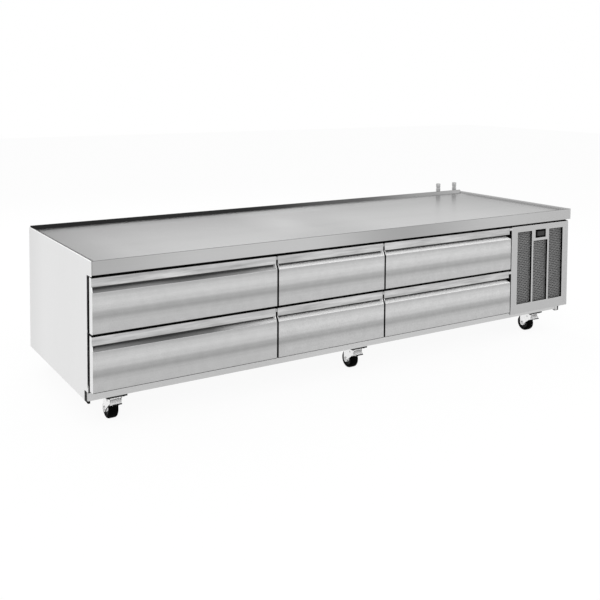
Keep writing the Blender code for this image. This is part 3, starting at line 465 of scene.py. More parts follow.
mouldings = {
    "frontShade": moulding(6, 0.80, 0.02, 0.0),
    "copper": moulding(176, 0.34, 0.5, 0.02, tint=(1.0, 0.52, 0.32), metallic=1.0, mottle=0.16),
    "blackPlastic": moulding(18, 0.48, 0.25, 0.02, wear=1.5, edgeTone=50),
    # painted shade: the black of the blocks at the base rail's ends
    "railEndShadeBlack": moulding(10, 0.60, 0.12, 0.01, wear=1.0, edgeTone=30),
    "deepBlack": moulding(5, 0.75, 0.02, 0.0),
    "sealRubber": moulding(24, 0.72, texture=500.0, relief=0.0003),
    "screenEnamel": moulding(118, 0.46, 0.5, 0.03, streaks=(18, 1, 150)),
    "machineEnamel": moulding(30, 0.32, 0.5, 0.16, wear=3.0, edgeTone=90),
    "pedalRubber": moulding(10, 0.60, 0.15, 0.01),
    # the black of the plate bolts, and painted shade on the frame under each caster plate
    "boltBlackAndShade": moulding(18, 0.42, 0.3, wear=2.0, edgeTone=70),
    "tyreRubber": moulding(3, 0.75, 0.03, 0.01, mottle=0.20, relief=0.0002),
    "hubPlastic": moulding(24, 0.55, 0.2),
    "fanPlastic": moulding(28, 0.42),
}

finishes = {name: sheetMetal(name, look) for name, look in steels.items()}
finishes.update({name: moulded(name, look) for name, look in mouldings.items()})
finishes["displayGlass"] = displayGlass("displayGlass")
print("materials:", len(finishes))


# Mesh building

def pointOn(axis, along, u, v):      # this far along the axis, with the other two in their usual order
    return {"X": (along, u, v), "Y": (u, along, v), "Z": (u, v, along)}[axis]


def aroundPoint(centre, radius, turn):      # the turn in radians
    return centre[0] + radius * math.cos(turn), centre[1] + radius * math.sin(turn)


def arc(centre, radius, start, end, steps):      # angles in degrees
    turns = [math.radians(start + (end - start) * i / steps) for i in range(steps + 1)]
    return [aroundPoint(centre, radius, turn) for turn in turns]


def flipped(points):
    return [(v, u) for u, v in points]


def curveThrough(first, second, third, fourth, steps):      # a cubic from first to fourth
    points = []
    for i in range(steps + 1):
        t = i / steps
        weights = ((1 - t) ** 3, 3 * t * (1 - t) ** 2, 3 * t * t * (1 - t), t ** 3)
        corners = (first, second, third, fourth)
        points.append(tuple(sum(w * corner[k] for w, corner in zip(weights, corners)) for k in (0, 1)))
    return points


def joinRings(bm, first, second):      # faces between two closed outlines
    for i in range(len(first)):
        j = (i + 1) % len(first)
        bm.faces.new((first[i], first[j], second[j], second[i]))


def addPrism(bm, outline, axis, span):
    ends = [[bm.verts.new(pointOn(axis, along, u, v)) for u, v in outline] for along in span]
    for end in ends:
        bm.faces.new(end)
    joinRings(bm, *ends)


def addBox(bm, xs, ys, zs):
    addPrism(bm, [(xs[0], ys[0]), (xs[1], ys[0]), (xs[1], ys[1]), (xs[0], ys[1])], "Z", zs)


def addTurned(bm, profile, axis, centre, segments, paint=0, closed=False):      # a profile of (along, radius)
    rings = []
    for along, radius in profile:
        if radius == 0:
            rings.append([bm.verts.new(pointOn(axis, along, *centre))] * segments)
        else:
            turns = [2 * math.pi * i / segments for i in range(segments)]
            points = [aroundPoint(centre, radius, turn) for turn in turns]
            rings.append([bm.verts.new(pointOn(axis, along, *point)) for point in points])
    pairs = list(zip(rings, rings[1:]))
    if closed:
        pairs.append((rings[-1], rings[0]))
    faces = []
    for k, (first, second) in enumerate(pairs):
        for i in range(segments):
            j = (i + 1) % segments
            corners = list(dict.fromkeys((first[i], first[j], second[j], second[i])))
            if len(corners) > 2:
                face = bm.faces.new(corners)
                face.material_index = paint[k] if isinstance(paint, list) else paint
                face.smooth = True
                faces.append(face)
    return faces


def startOn(axis, place):      # a place as its distance along the axis, and the other two
    k = "XYZ".index(axis)
    return place[k], place[:k] + place[k + 1:]


def addHexBolt(bm, place, axis, facing, across, height, washer, paint=0):      # a head with a washer under it
    start, centre = startOn(axis, place)
    washerTop = start + facing * washer
    top = washerTop + facing * height
    wide = across * 0.85
    addTurned(bm, [(start, 0), (start, wide), (washerTop, wide), (washerTop, 0)], axis, centre, 24, paint)
    radius = across / math.sqrt(3)
    chamferFoot = top - facing * height * 0.18
    head = [(washerTop, 0), (washerTop, radius), (chamferFoot, radius), (top, radius * 0.84), (top, 0)]
    for face in addTurned(bm, head, axis, centre, 6, paint):
        face.smooth = False


def addPanScrew(bm, place, axis, radius, height, paint=0):      # a domed head with a socket
    start, centre = startOn(axis, place)
    dome = [(start + height * math.sin(t), radius * math.cos(t)) for t in (0, 0.35, 0.7, 1.0, 1.25)]
    profile = [(start, 0), *dome, (start + height, radius * 0.26), (start + height * 0.45, 0)]
    addTurned(bm, profile, axis, centre, 16, paint)


def bevelSharp(bm, width, segments=2, sharpest=30, chosen=lambda edge: True):
    sharp = [
        edge for edge in bm.edges
        if len(edge.link_faces) == 2 and edge.calc_face_angle(0) > math.radians(sharpest) and chosen(edge)
    ]
    bmesh.ops.bevel(bm, geom=sharp, offset=width, offset_type="OFFSET", segments=segments, profile=0.5,
                    affect="EDGES", clamp_overlap=True)


def makePiece(name, bm, materials, place=(0, 0, 0), smoothAngle=40):
    bmesh.ops.recalc_face_normals(bm, faces=bm.faces)
    mesh = bpy.data.meshes.new(name)
    bm.to_mesh(mesh)
    bm.free()
    for material in materials:
        mesh.materials.append(finishes[material])
    mesh.shade_smooth()
    mesh.set_sharp_from_angle(angle=math.radians(smoothAngle))
    piece = bpy.data.objects.new(name, mesh)
    piece.location = place
    scene.collection.objects.link(piece)
    return piece


def fit(piece, body, slot, *nodes):      # what it moves with, the finish slot, which is not used, and what it stands for
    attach(piece, body)
    if nodes:
        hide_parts(*nodes)


def addModifier(piece, name, kind, **settings):
    modifier = piece.modifiers.new(name, kind)
    for setting, value in settings.items():
        setattr(modifier, setting, value)
    return piece


def boxPiece(name, boxes, edge, segments, finish, slot):      # fixed trim made of boxes
    bm = bmesh.new()
    for box in boxes:
        addBox(bm, *box)
    bevelSharp(bm, edge, segments)
    fit(makePiece(name, bm, [finish]), "cabinet", slot)


weldReach = 1e-5


def refine(node, name, slot, materials, width, segments=2, paint=None):      # rounds a fixed CAD piece
    bm = bmesh.new()
    bm.from_mesh(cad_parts[node].data)
    bmesh.ops.remove_doubles(bm, verts=bm.verts, dist=weldReach)
    bmesh.ops.dissolve_limit(bm, angle_limit=math.radians(0.5), verts=bm.verts, edges=bm.edges)
    bevelSharp(bm, width, segments)
    bm.normal_update()
    for face in bm.faces:
        shown = paint(face.normal, face.calc_center_median()) if paint else materials[0]
        face.material_index = materials.index(shown)
    piece = addModifier(makePiece(name, bm, materials), "evenShading", "WEIGHTED_NORMAL", keep_sharp=True)
    fit(piece, "cabinet", slot, node)


def dress(material, *nodes, edge=0.0):      # CAD pieces that keep their shape, with their edges eased
    for name in nodes:
        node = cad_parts[name]
        for materialSlot in node.material_slots:
            materialSlot.link = "OBJECT"
            materialSlot.material = finishes[material]
        if edge:
            addModifier(node, "weld", "WELD", merge_threshold=weldReach)
            addModifier(node, "easedEdges", "BEVEL", width=edge, segments=2, limit_method="ANGLE",
                        angle_limit=math.radians(30))


# Worktop

worktop = {
    "edgeRound": 0.0018,
    "lipDepth": 0.0225,
    "lipRise": 0.016,          # the back lip's crest above the surface
    "creaseDepth": 0.003,      # how far the painted dark line reaches back from the front
    "creaseDrop": 0.004,
    "crestWidth": 0.012,
    "cornerShade": 0.0025,
}


def buildWorktop():
    low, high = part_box("worktop")
    size = worktop
    surface = high.z - size["lipRise"]
    corner = size["cornerShade"]

    def paint(normal, centre):
        if centre.y > high.y - size["lipDepth"] and normal.y < -0.2 and centre.z > surface:
            return "backLipShade"
        if normal.z > 0.98 and abs(centre.z - surface) < 0.001:
            return "worktopSteelSheen"
        if normal.y < -0.98 and centre.y < low.y + 0.001:
            return "worktopBandSheen"
        if normal.x < -0.1 and centre.x < low.x + corner and centre.y < low.y + corner:
            return "frontShade"
        # the front crease and the left crest take painted shade
        onFront = centre.y < low.y + size["creaseDepth"] and centre.z > surface - size["creaseDrop"]
        onCrest = centre.x < low.x + size["crestWidth"] and centre.z > surface
        if (onFront or onCrest) and max(abs(part) for part in normal) < 0.97:
            return "creaseShade"
        return "worktopRim"

    refine("worktop", "worktopSheet", "worktop_steel",
           ["worktopSteelSheen", "worktopBandSheen", "worktopRim", "backLipShade", "creaseShade", "frontShade"],
           size["edgeRound"], 3, paint)


buildWorktop()
print("worktop")


# Outer sheets

def buildPanels():
    def paintLeft(normal, centre):
        return "sideSteel" if normal.x < -0.9 else "capSteel"

    refine("left_side_panel", "leftSideSheet", "side_steel", ["sideSteel", "capSteel"], 0.0006, 2, paintLeft)
    refine("right_side_panel", "rightSideSheet", "side_steel", ["bayFrame"], 0.0006)
    refine("back_panel", "backSheet", "galvanised", ["galvanisedSheet"], 0.0005)


buildPanels()

railTrim = {
    "plateDrop": 0.003,      # the caster plates hang this far below the rail
    "setback": 0.012,        # the trim's depth, from the rail's front
    "foot": 0.0085,          # how far the black blocks of painted shade reach below the rail, and past its right end
    "sideProud": 0.0009, "frontProud": 0.0008, "flange": 0.022, "sole": 0.0060, "soleLength": 0.016,
    "capLength": 0.015, "capProud": 0.0014, "capDrop": 0.0058, "capRise": 0.016,
    "joint": 0.0005, "seat": 0.0001,
}


def buildRails():
    dress("railSteel", "base_rail_front", edge=0.0006)
    dress("galvanisedSheet", "base_rail_rear", edge=0.0006)
    low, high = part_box("base_rail_front")
    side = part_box("left_side_panel")[0]
    size = railTrim
    joint, seat, reach = size["joint"], size["seat"], size["foot"]
    foot = low.z + size["plateDrop"]
    inner = low.y + size["setback"]
    sideSpan = (side.x - size["sideProud"], side.x - seat)
    frontSpan = (low.y - size["frontProud"], inner)
    # black blocks at the rail's ends: painted shade at the side panel, under the rail and past its right end
    shadeBlocks = [
        (sideSpan, (inner, inner + size["flange"]), (side.z + joint, high.z)),
        (sideSpan, (low.y + 0.005, inner), (side.z + joint, foot - joint)),
        ((side.x, low.x + 0.004), frontSpan, (foot - reach, foot - 2 * seat)),
        ((high.x + 2 * seat, high.x + reach), frontSpan, (foot - reach, high.z - 0.0035)),
        ((high.x - size["soleLength"], high.x + 2 * seat), frontSpan, (foot - reach, foot - size["sole"])),
    ]
    caps = [
        ((side.x + seat, low.x - seat), (low.y, inner - joint), (foot, high.z - 0.001)),
        ((high.x - size["capLength"], high.x - seat), (low.y - size["capProud"], inner),
         (foot - size["capDrop"], foot + size["capRise"])),
    ]
    boxPiece("railEndPlugs", shadeBlocks, 0.0004, 1, "railEndShadeBlack", "frame_plastic")
    boxPiece("railEndCaps", caps, 0.0012, 3, "railSteel", "front_steel")


buildRails()
print("outer sheets and base rails")


# Drawer fronts

columns = ("left", "middle", "right")
rows = ("upper", "lower")

drawerFront = {
    "proud": 0.010,          # the panel's skin stands this far in front of the band
    "bandDrop": 0.0325,
    "bandSheet": 0.006,
    "bandRound": 0.0015,
    "pocketTop": 0.018,
    "pocketBack": 0.003,
    "pocketFoot": 0.044,
    "pocketRound": 0.004,
    "capSheet": 0.003,
    "lipFoot": 0.050,
    "lipRound": 0.004,
    "bottomRound": 0.004,
    "endRound": 0.0007,
    "endShade": 0.0012,           # the width of the dark edge beside a gap between the columns
    "endShadeDepth": 0.0155,      # and how far below the band's top it starts
}

panelPaint, bandPaint, pocketPaint, lipPaint, capPaint, shadePaint, highlightPaint, gapShadePaint = range(8)


def painted(points, paint):
    return [(y, z, paint) for y, z in points]


def drawerOutline(height, thickness):      # (y, z, paint up to the next point), round from the back's top
    size = drawerFront
    band = size["proud"]
    bandFoot = height - size["bandDrop"]
    rounding, lipRound, bottomRound, corner = (
        size[part] for part in ("bandRound", "lipRound", "bottomRound", "pocketRound"))
    lip = arc((lipRound, height - size["lipFoot"] - lipRound), lipRound, 120, 180, 8)
    bottom = arc((bottomRound, bottomRound), bottomRound, 180, 270, 6)
    crest = arc((band + rounding, height - rounding), rounding, 90, 180, 4)
    hem = arc((band + rounding, bandFoot + rounding), rounding, 180, 270, 4)
    pocketBack = thickness - size["pocketBack"]
    bandBack = band + size["bandSheet"]
    head = arc((pocketBack - corner, height - size["pocketTop"] - corner), corner, 90, 0, 4)
    foot = arc((pocketBack - corner, height - size["pocketFoot"] + corner), corner, 0, -60, 4)
    # the top face takes painted shade, as do the ends beside the gaps
    outer = painted([(thickness, height)], gapShadePaint)
    outer += painted(crest[:4], shadePaint) + painted(crest[4:] + hem[:-1], bandPaint)
    bandTop = [hem[-1], (bandBack, bandFoot), (bandBack, height - size["pocketTop"])]
    pocket = painted(bandTop + head + foot[:-1], pocketPaint) + painted(foot[-1:], lipPaint)
    lower = painted(lip[:3], lipPaint) + painted(lip[3:] + bottom[:1], panelPaint)
    lower += painted(bottom[1:], shadePaint) + painted([(thickness, 0)], panelPaint)
    return outer, pocket, lower


def buildDrawerFront(row, column):
    node = f"drawer_{row}_{column}_front"
    low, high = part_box(node)
    width, thickness, height = high - low
    outer, pocket, lower = drawerOutline(height, thickness)
    edge, cap = drawerFront["endShade"], drawerFront["capSheet"]
    shadeTop = height - drawerFront["endShadeDepth"]
    stations = (0.0, edge, cap, width - cap, width - edge, width)
    rim = outer + [pocket[0]] + lower      # the outline at the end caps, closed across the pocket's mouth
    mouth = len(outer)
    bm = bmesh.new()
    rings = [[bm.verts.new((x, y, z)) for y, z, paint in rim] for x in stations]
    for k in range(5):
        besideGap = k == 0 and column != "left" or k == 4 and column != "right"
        for i, (y, z, paint) in enumerate(rim):
            if k == 2 and i == mouth:
                continue
            j = (i + 1) % len(rim)
            if i == mouth:
                paint = shadePaint if column == "right" and k > 2 else capPaint
            if besideGap and (z + rim[j][1]) / 2 < shadeTop:
                paint = shadePaint
            face = bm.faces.new((rings[k][i], rings[k][j], rings[k + 1][j], rings[k + 1][i]))
            face.material_index = paint
    bm.faces.new(rings[0]).material_index = capPaint if column == "left" else gapShadePaint
    bm.faces.new(rings[5]).material_index = gapShadePaint
    inner = [[bm.verts.new((x, y, z)) for y, z, paint in pocket[1:]] for x in stations[2:4]]
    loops = [[ring[mouth], *wall, ring[mouth + 1]] for ring, wall in zip(rings[2:4], inner)]
    for i in range(len(loops[0]) - 1):
        face = bm.faces.new((loops[0][i], loops[0][i + 1], loops[1][i + 1], loops[1][i]))
        face.material_index = pocket[i][2]
    for loop in loops:
        bm.faces.new(loop).material_index = shadePaint if column == "right" else highlightPaint
    bevelSharp(bm, drawerFront["endRound"], 2, 50,
               lambda edge: all(vert.co.x in (0.0, width) for vert in edge.verts))
    lip = {"upper": "lipReflectionUpper", "lower": "lipReflectionLower"}[row] if column == "left" else "lipHighlight"
    materials = ["panelSteelSheen", "drawerBandSheen", "pocketShadeSteel", lip, "capSteel", "frontShade", "lipHighlight",
                 "gapShadeSteel"]
    piece = makePiece(f"drawerFront_{row}_{column}", bm, materials, low, 30)
    addModifier(piece, "evenShading", "WEIGHTED_NORMAL", keep_sharp=True)
    fit(piece, f"drawer_{row}_{column}", "front_steel", node)


# Drawer boxes, with a rolled rim round the top

rolledRim = {
    "reach": 0.006, "drop": 0.0035, "sheet": 0.0012, "setback": 0.004, "seat": 0.0002, "barWidth": 0.010,
}


def buildDrawerBox(row, column):
    body = f"drawer_{row}_{column}"
    node = body + "_box"
    dress("drawerSteel", node, edge=0.0004)
    low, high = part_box(node)
    size = rolledRim
    left, right = low.x + size["barWidth"], high.x - size["barWidth"]      # inside the slide bars
    front = low.y + size["setback"]
    sheet, half = size["sheet"], size["drop"] / 2
    turn = size["reach"] - half
    curl = arc((turn, sheet - half), half, 90, -90, 6)
    profile = [(0.0, size["seat"]), (0.0, sheet), *curl, (turn, size["seat"])]
    corners = ((left, front, -1, 0), (left, high.y, -1, 1), (right, high.y, 1, 1), (right, front, 1, 0))
    bm = bmesh.new()
    rings = [[bm.verts.new((x + outX * u, y + outY * u, high.z + v)) for u, v in profile]
             for x, y, outX, outY in corners]
    for first, second in zip(rings, rings[1:]):
        joinRings(bm, first, second)
    bm.faces.new(rings[0])
    bm.faces.new(rings[-1])
    fit(makePiece(f"drawerRim_{row}_{column}", bm, ["drawerSteel"]), body, "drawer_steel")


for row in rows:
    for column in columns:
        buildDrawerFront(row, column)
        buildDrawerBox(row, column)
print("drawers:", len(rows) * len(columns))


# Machine bay: front panel, perforated screen and controller

bay = {
    "windowWidth": 0.096,
    "windowPitch": 0.1075,
    "windowHead": 0.519,
    "windowFoot": 0.173,
    "middleHead": 0.469,
    "holePitch": 0.0100,
    "rowPitch": 0.0086,
    "holeRadius": 0.0033,
    "notchHalf": 0.0320,      # the screen is cut away behind the controller
    "notchFoot": 0.4860,
    "sheet": 0.0010,
    "stripHeight": 0.015,
    "stripClearance": 0.0008,
    "windowLip": 0.0016,
    "lipProud": 0.0005,
}


def buildBayFront():
    low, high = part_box("compartment_front")
    left, right = low.x + 0.02, high.x - 0.005

    def paint(normal, centre):
        # the windows' reveals are painted black: painted shade
        inside = left < centre.x < right and bay["windowFoot"] - 0.01 < centre.z < bay["windowHead"] + 0.001
        return "deepBlack" if inside and abs(normal.y) < 0.5 else "bayFrame"

    refine("compartment_front", "bayFrontPanel", "front_steel", ["bayFrame", "deepBlack"], 0.0006, 2, paint)


def buildGapStrips():      # steel tongues of the frame that close the gaps beside the tops of the bands
    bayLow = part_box("compartment_front")[0]
    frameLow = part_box("face_frame")[0]
    clearance = bay["stripClearance"]
    boxes = []
    for row in rows:
        fronts = [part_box(f"drawer_{row}_{column}_front") for column in columns]
        top = fronts[0][1].z
        face = fronts[0][0].y + drawerFront["proud"]
        ends = [front[0].x - clearance for front in fronts[1:]] + [bayLow.x - 0.0002]
        for front, end in zip(fronts, ends):
            start = front[1].x + clearance
            boxes.append(((start, end), (face, frameLow.y + 0.001), (top - bay["stripHeight"], top - 0.003)))
    boxPiece("gapStrips", boxes, 0.0003, 1, "drawerBandSheen", "front_steel")


def buildScreen():      # one cell for each hole, in offset rows, with plain cells behind the frame
    low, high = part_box("perforated_screen")
    middle = (low.x + high.x) / 2
    countX = round((high.x - low.x) / bay["holePitch"])
    countZ = round((high.z - low.z) / bay["rowPitch"])
    stepX = (high.x - low.x) / countX
    stepZ = (high.z - low.z) / countZ
    radius = bay["holeRadius"]
    half = bay["windowWidth"] / 2 + radius
    windows = []
    for i in (-1, 0, 1):
        centre = middle + i * bay["windowPitch"]
        head = bay["windowHead"] if i else bay["middleHead"]
        windows.append((centre - half, centre + half, bay["windowFoot"] - radius, head + radius))
    bm = bmesh.new()
    known = {}

    def vertAt(x, z):
        key = (round(x * 1e5), round(z * 1e5))
        if key not in known:
            known[key] = bm.verts.new((x, low.y, z))
        return known[key]

    for rowIndex in range(countZ):
        z = low.z + (rowIndex + 0.5) * stepZ
        below, above = z - stepZ / 2, z + stepZ / 2
        for columnIndex in range(-1, countX + 1):
            x = low.x + (columnIndex + 0.5 + 0.5 * (rowIndex % 2)) * stepX
            left, right = max(x - stepX / 2, low.x), min(x + stepX / 2, high.x)
            notched = left < middle + bay["notchHalf"] and right > middle - bay["notchHalf"]
            if right - left < stepX * 0.1 or notched and z > bay["notchFoot"]:
                continue
            ring = [(right, z), (right, above), (x, above), (left, above),
                    (left, z), (left, below), (x, below), (right, below)]
            whole = right - left > stepX * 0.9
            if not whole:
                del ring[6], ring[2]
            outer = [vertAt(*point) for point in ring]
            if not (whole and any(w[0] < x < w[1] and w[2] < z < w[3] for w in windows)):
                bm.faces.new(outer)
                continue
            points = [aroundPoint((x, z), radius, math.radians(45 * k)) for k in range(8)]
            hole = [bm.verts.new((u, low.y, v)) for u, v in points]
            joinRings(bm, outer, hole)
    piece = makePiece("perforatedScreen", bm, ["screenEnamel"])
    addModifier(piece, "sheet", "SOLIDIFY", thickness=bay["sheet"], offset=-1.0, use_even_offset=False)
    fit(piece, "cabinet", "screen_enamel", "perforated_screen")


def buildController():
    refine("controller_housing", "controllerBezel", "frame_plastic", ["deepBlack"], 0.0007)
    refine("controller_display", "controllerWindow", "display", ["displayGlass"], 0.0004)
    low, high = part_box("controller_display")
    lip, proud = bay["windowLip"], bay["lipProud"]
    depth = (low.y - proud, low.y + 0.001)      # the bezel's inner lip, a frame over the edge of the window
    uprights = [(xs, depth, (low.z - proud, high.z + proud))
                for xs in ((low.x - proud, low.x + lip), (high.x - lip, high.x + proud))]
    bars = [((low.x + lip, high.x - lip), depth, zs)
            for zs in ((low.z - proud, low.z + lip), (high.z - lip, high.z + proud))]
    boxPiece("controllerLip", uprights + bars, 0.0003, 1, "deepBlack", "frame_plastic")


buildBayFront()
buildGapStrips()
buildScreen()
buildController()
print("machine bay front")


# Rear stops

rearStops = {
    "spacing": 0.120, "radius": 0.012, "rise": 0.048, "below": 0.020, "chamfer": 0.0016,
    "groove": 0.0014, "grooveHalf": 0.003, "dimple": 0.004, "dimpleDepth": 0.0012, "plateSheet": 0.003,
    "screwRadius": 0.0042, "screwHeight": 0.0024, "screwInset": 0.009, "screwMiddle": 0.022,
    "screwRise": 0.011,
}


def buildRearStops():
    low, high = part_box("rear_stop_bracket")
    size = rearStops
    middle = (low.x + high.x) / 2
    radius, chamfer, groove = size["radius"], size["chamfer"], size["grooveHalf"]
    top = high.z
    foot = top - size["rise"] - size["below"]
    neck = top - size["rise"] / 2
    turns = [math.radians(180 - 22.5 * k) for k in range(9)]
    profile = [
        (foot, 0), (foot, radius - 0.001), (foot + 0.001, radius), (neck - groove - 0.001, radius),
        *[(neck + groove * math.cos(turn), radius - size["groove"] * math.sin(turn)) for turn in turns],
        (neck + groove + 0.001, radius), *flipped(arc((radius - chamfer, top - chamfer), chamfer, 0, 90, 4)),
        (top, size["dimple"]), (top - size["dimpleDepth"], 0.0022), (top - size["dimpleDepth"], 0),
    ]
    bm = bmesh.new()
    plateBack = low.y + size["plateSheet"]
    addBox(bm, (low.x, high.x), (low.y, plateBack), (low.z, high.z - size["rise"] + 0.004))
    bevelSharp(bm, 0.0010, 2)
    for side in (-1, 1):
        addTurned(bm, profile, "Z", (middle + side * size["spacing"] / 2, high.y - radius), 40)
    inset, apart = size["screwInset"], size["screwMiddle"]
    for x in (low.x + inset, middle - apart, middle + apart, high.x - inset):
        place = (x, plateBack, low.z + size["screwRise"])
        addPanScrew(bm, place, "Y", size["screwRadius"], size["screwHeight"], 1)
    stops = makePiece("rearStops", bm, ["postSteel", "boltZinc"])
    fit(stops, "cabinet", "worktop_steel", "rear_stop_bracket")


buildRearStops()
print("rear stops")


# Back sheet: pressed louvres over its slots, and its screws

backSheet = {
    "louvreWidth": 0.120, "louvreHeight": 0.010, "louvrePitch": 0.024, "louvreCount": 8, "louvreGap": 0.030,
    "head": 0.518, "bulge": 0.006, "sheet": 0.0008, "seat": 0.0002,
    "screwRadius": 0.0045, "screwHeight": 0.0026, "screwSpacing": 0.290, "screwInset": 0.012,
}


def buildLouvres():
    low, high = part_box("back_panel")
    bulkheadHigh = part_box("cabinet_bulkhead")[1]
    middle = (bulkheadHigh.x + high.x) / 2
    size = backSheet
    along, around = 16, 6
    bm = bmesh.new()
    for side in (-1, 1):
        centre = middle + side * (size["louvreWidth"] + size["louvreGap"]) / 2
        for k in range(size["louvreCount"]):
            top = size["head"] - k * size["louvrePitch"] + 0.0015
            foot = top - size["louvreHeight"] - 0.0025
            lines = []
            for i in range(along + 1):
                t = 2 * i / along - 1
                x = centre + t * (size["louvreWidth"] / 2 + 0.002)
                swell = size["bulge"] * (1 - abs(t) ** 10)
                line = []
                for share in (j / around for j in range(around + 1)):
                    y = high.y + size["seat"] + swell * math.sin(share * math.pi / 2)
                    line.append(bm.verts.new((x, y, top + (foot - top) * share)))
                lines.append(line)
            for first, second in zip(lines, lines[1:]):
                for j in range(around):
                    bm.faces.new((first[j], first[j + 1], second[j + 1], second[j]))
    piece = makePiece("backLouvres", bm, ["galvanisedSheet"], (0, 0, 0), 60)
    addModifier(piece, "sheet", "SOLIDIFY", thickness=size["sheet"], offset=0.0)
    fit(piece, "cabinet", "galvanised")


def buildBackScrews():
    low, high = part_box("back_panel")
    size = backSheet
    inset = size["screwInset"]
    count = round((high.x - low.x - 2 * inset) / size["screwSpacing"])
    places = []
    for i in range(count + 1):
        x = low.x + inset + (high.x - low.x - 2 * inset) * i / count
        places += [(x, low.z + inset), (x, high.z - inset)]
    for x in (low.x + inset, high.x - inset):
        places += [(x, low.z + (high.z - low.z) * share) for share in (1 / 3, 2 / 3)]
    bm = bmesh.new()
    for x, z in places:
        addPanScrew(bm, (x, high.y + size["seat"], z), "Y", size["screwRadius"], size["screwHeight"])
    fit(makePiece("backScrews", bm, ["boltZinc"]), "cabinet", "galvanised")


buildLouvres()
buildBackScrews()
print("back sheet")


# Casters

caster = {
    "trail": 0.031, "forkSheet": 0.003, "forkFront": 0.024, "forkBack": 0.030, "forkCorner": 0.004,
    "legFront": ((-0.022, 0.060), (0.008, 0.052)),      # what draws the legs' front and back edges
    "legBack": ((0.044, 0.060), (0.046, 0.078)),
    "eyeRadius": 0.012, "raceRadius": 0.028, "raceHeight": 0.010, "raceLip": 0.0026,
    "wheelRadius": 0.038, "wheelWidth": 0.038, "sideClearance": 0.0025, "treadRound": 0.009,
    "rimRadius": 0.027, "webSink": 0.005, "hubRadius": 0.013, "boreRadius": 0.0063,
    "axleRadius": 0.0058, "axleReach": 0.004, "nutAcross": 0.0115,
    "pedalWidth": 0.036, "pedalReach": 0.038, "pedalFall": 0.008, "pedalThickness": 0.004, "pedalEye": 0.0055,
    "pedalPinForward": 0.001, "pedalPinDrop": 0.0085, "pedalPinRadius": 0.003,
    "pedalTop": ((-0.016, 0.0062), (-0.031, 0.0055)),
    "toe": 0.0025, "shoeDrop": 0.016, "shoeThickness": 0.004,
}


def buildCasterFork(braked):      # about its swivel axis, as high as the CAD fork
    size = caster
    low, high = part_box("caster_fork_front_left")
    crownTop = high.z
    crownFoot = crownTop - size["raceHeight"] - size["forkSheet"]
    legTop = crownFoot + size["forkSheet"]
    inner = size["wheelWidth"] / 2 + size["sideClearance"]
    outer = inner + size["forkSheet"]
    axle = (size["trail"], size["wheelRadius"])
    front, back, corner, eye = (size[part] for part in ("forkFront", "forkBack", "forkCorner", "eyeRadius"))
    outline = [(-front + corner, legTop), *arc((-front + corner, legTop - corner), corner, 90, 180, 3)]
    frontEnd, backEnd = (axle[0] - eye * 0.97, axle[1] - 0.003), (back + 0.006, legTop - 0.002)
    outline += curveThrough((-front, legTop - 0.009), *size["legFront"], frontEnd, 8)
    outline += arc(axle, eye, 200, 350, 12)
    outline += curveThrough((axle[0] + eye, axle[1] + 0.004), *size["legBack"], backEnd, 6)
    outline += [(back, legTop)]
    bm = bmesh.new()
    for side in (-1, 1):
        addPrism(bm, outline, "X", sorted((side * inner, side * outer)))
    addBox(bm, (-outer + 0.001, outer - 0.001), (-front + 0.003, back), (crownFoot, legTop - 0.0002))
    bevelSharp(bm, 0.0008, 2, 45)
    race, lip = size["raceRadius"], size["raceLip"]
    middle = (legTop + crownTop) / 2
    lowerRace = [(legTop - 0.001, 0), (legTop - 0.001, race - 0.004)]
    lowerRace += flipped(arc((race - lip, legTop + 0.0016), lip, -60, 60, 5))
    lowerRace += [(middle, race - 0.0060), (middle + 0.0002, 0)]
    neck = race - 0.0075
    upperRace = [(middle, 0), (middle, neck), (crownTop, neck), (crownTop, 0)]
    headTop, headFoot = crownFoot + 0.0005, crownFoot - 0.0035
    kingpin = [(headTop, 0), (headTop, 0.008), (crownFoot - 0.0015, 0.008), (headFoot, 0.005), (headFoot, 0)]
    for profile, segments, paint in ((lowerRace, 40, 0), (upperRace, 40, 0), (kingpin, 24, 1)):
        addTurned(bm, profile, "Z", (0, 0), segments, paint)
    rod = size["axleRadius"]
    addTurned(bm, [(-outer, 0), (-outer, rod), (outer, rod), (outer, 0)], "X", axle, 24, 1)
    nutHeight = size["axleReach"] - 0.001
    for side in (-1, 1):
        addHexBolt(bm, (side * outer, *axle), "X", side, size["nutAcross"], nutHeight, 0.001, 1)
    if braked:
        pin = (-size["pedalPinForward"], crownFoot - size["pedalPinDrop"])
        radius = size["pedalPinRadius"]
        ends = [(outer, radius), (outer, radius * 1.5), (outer + 0.0012, radius * 1.2), (outer + 0.0012, 0)]
        addTurned(bm, [(-x, r) for x, r in ends[::-1]] + ends, "X", pin, 20, 1)
    return bm


def buildCasterWheel():      # about its axle; its paints are tyre, hub and bearing
    size = caster
    half, radius, rounding = size["wheelWidth"] / 2, size["wheelRadius"], size["treadRound"]
    rim, hub, bore = size["rimRadius"], size["hubRadius"], size["boreRadius"]
    web = half - size["webSink"]
    tread = arc((half - rounding, radius - rounding), rounding, 90, 0, 6)
    side = [(half, rim + 0.001, 0), (half - 0.0008, rim, 0), (web, rim - 0.002, 1), (web, hub + 0.0015, 1),
            (half - 0.001, hub, 2), (half, hub - 0.001, 2), (half, bore, 2)]
    points = [(x, r, 0) for x, r in [(-x, r) for x, r in tread[::-1]] + tread]
    points += side + [(-x, r, paint) for x, r, paint in side[::-1]]
    bm = bmesh.new()
    profile = [(x, r) for x, r, paint in points]
    addTurned(bm, profile, "X", (0, 0), 56, [paint for x, r, paint in points], closed=True)
    return bm


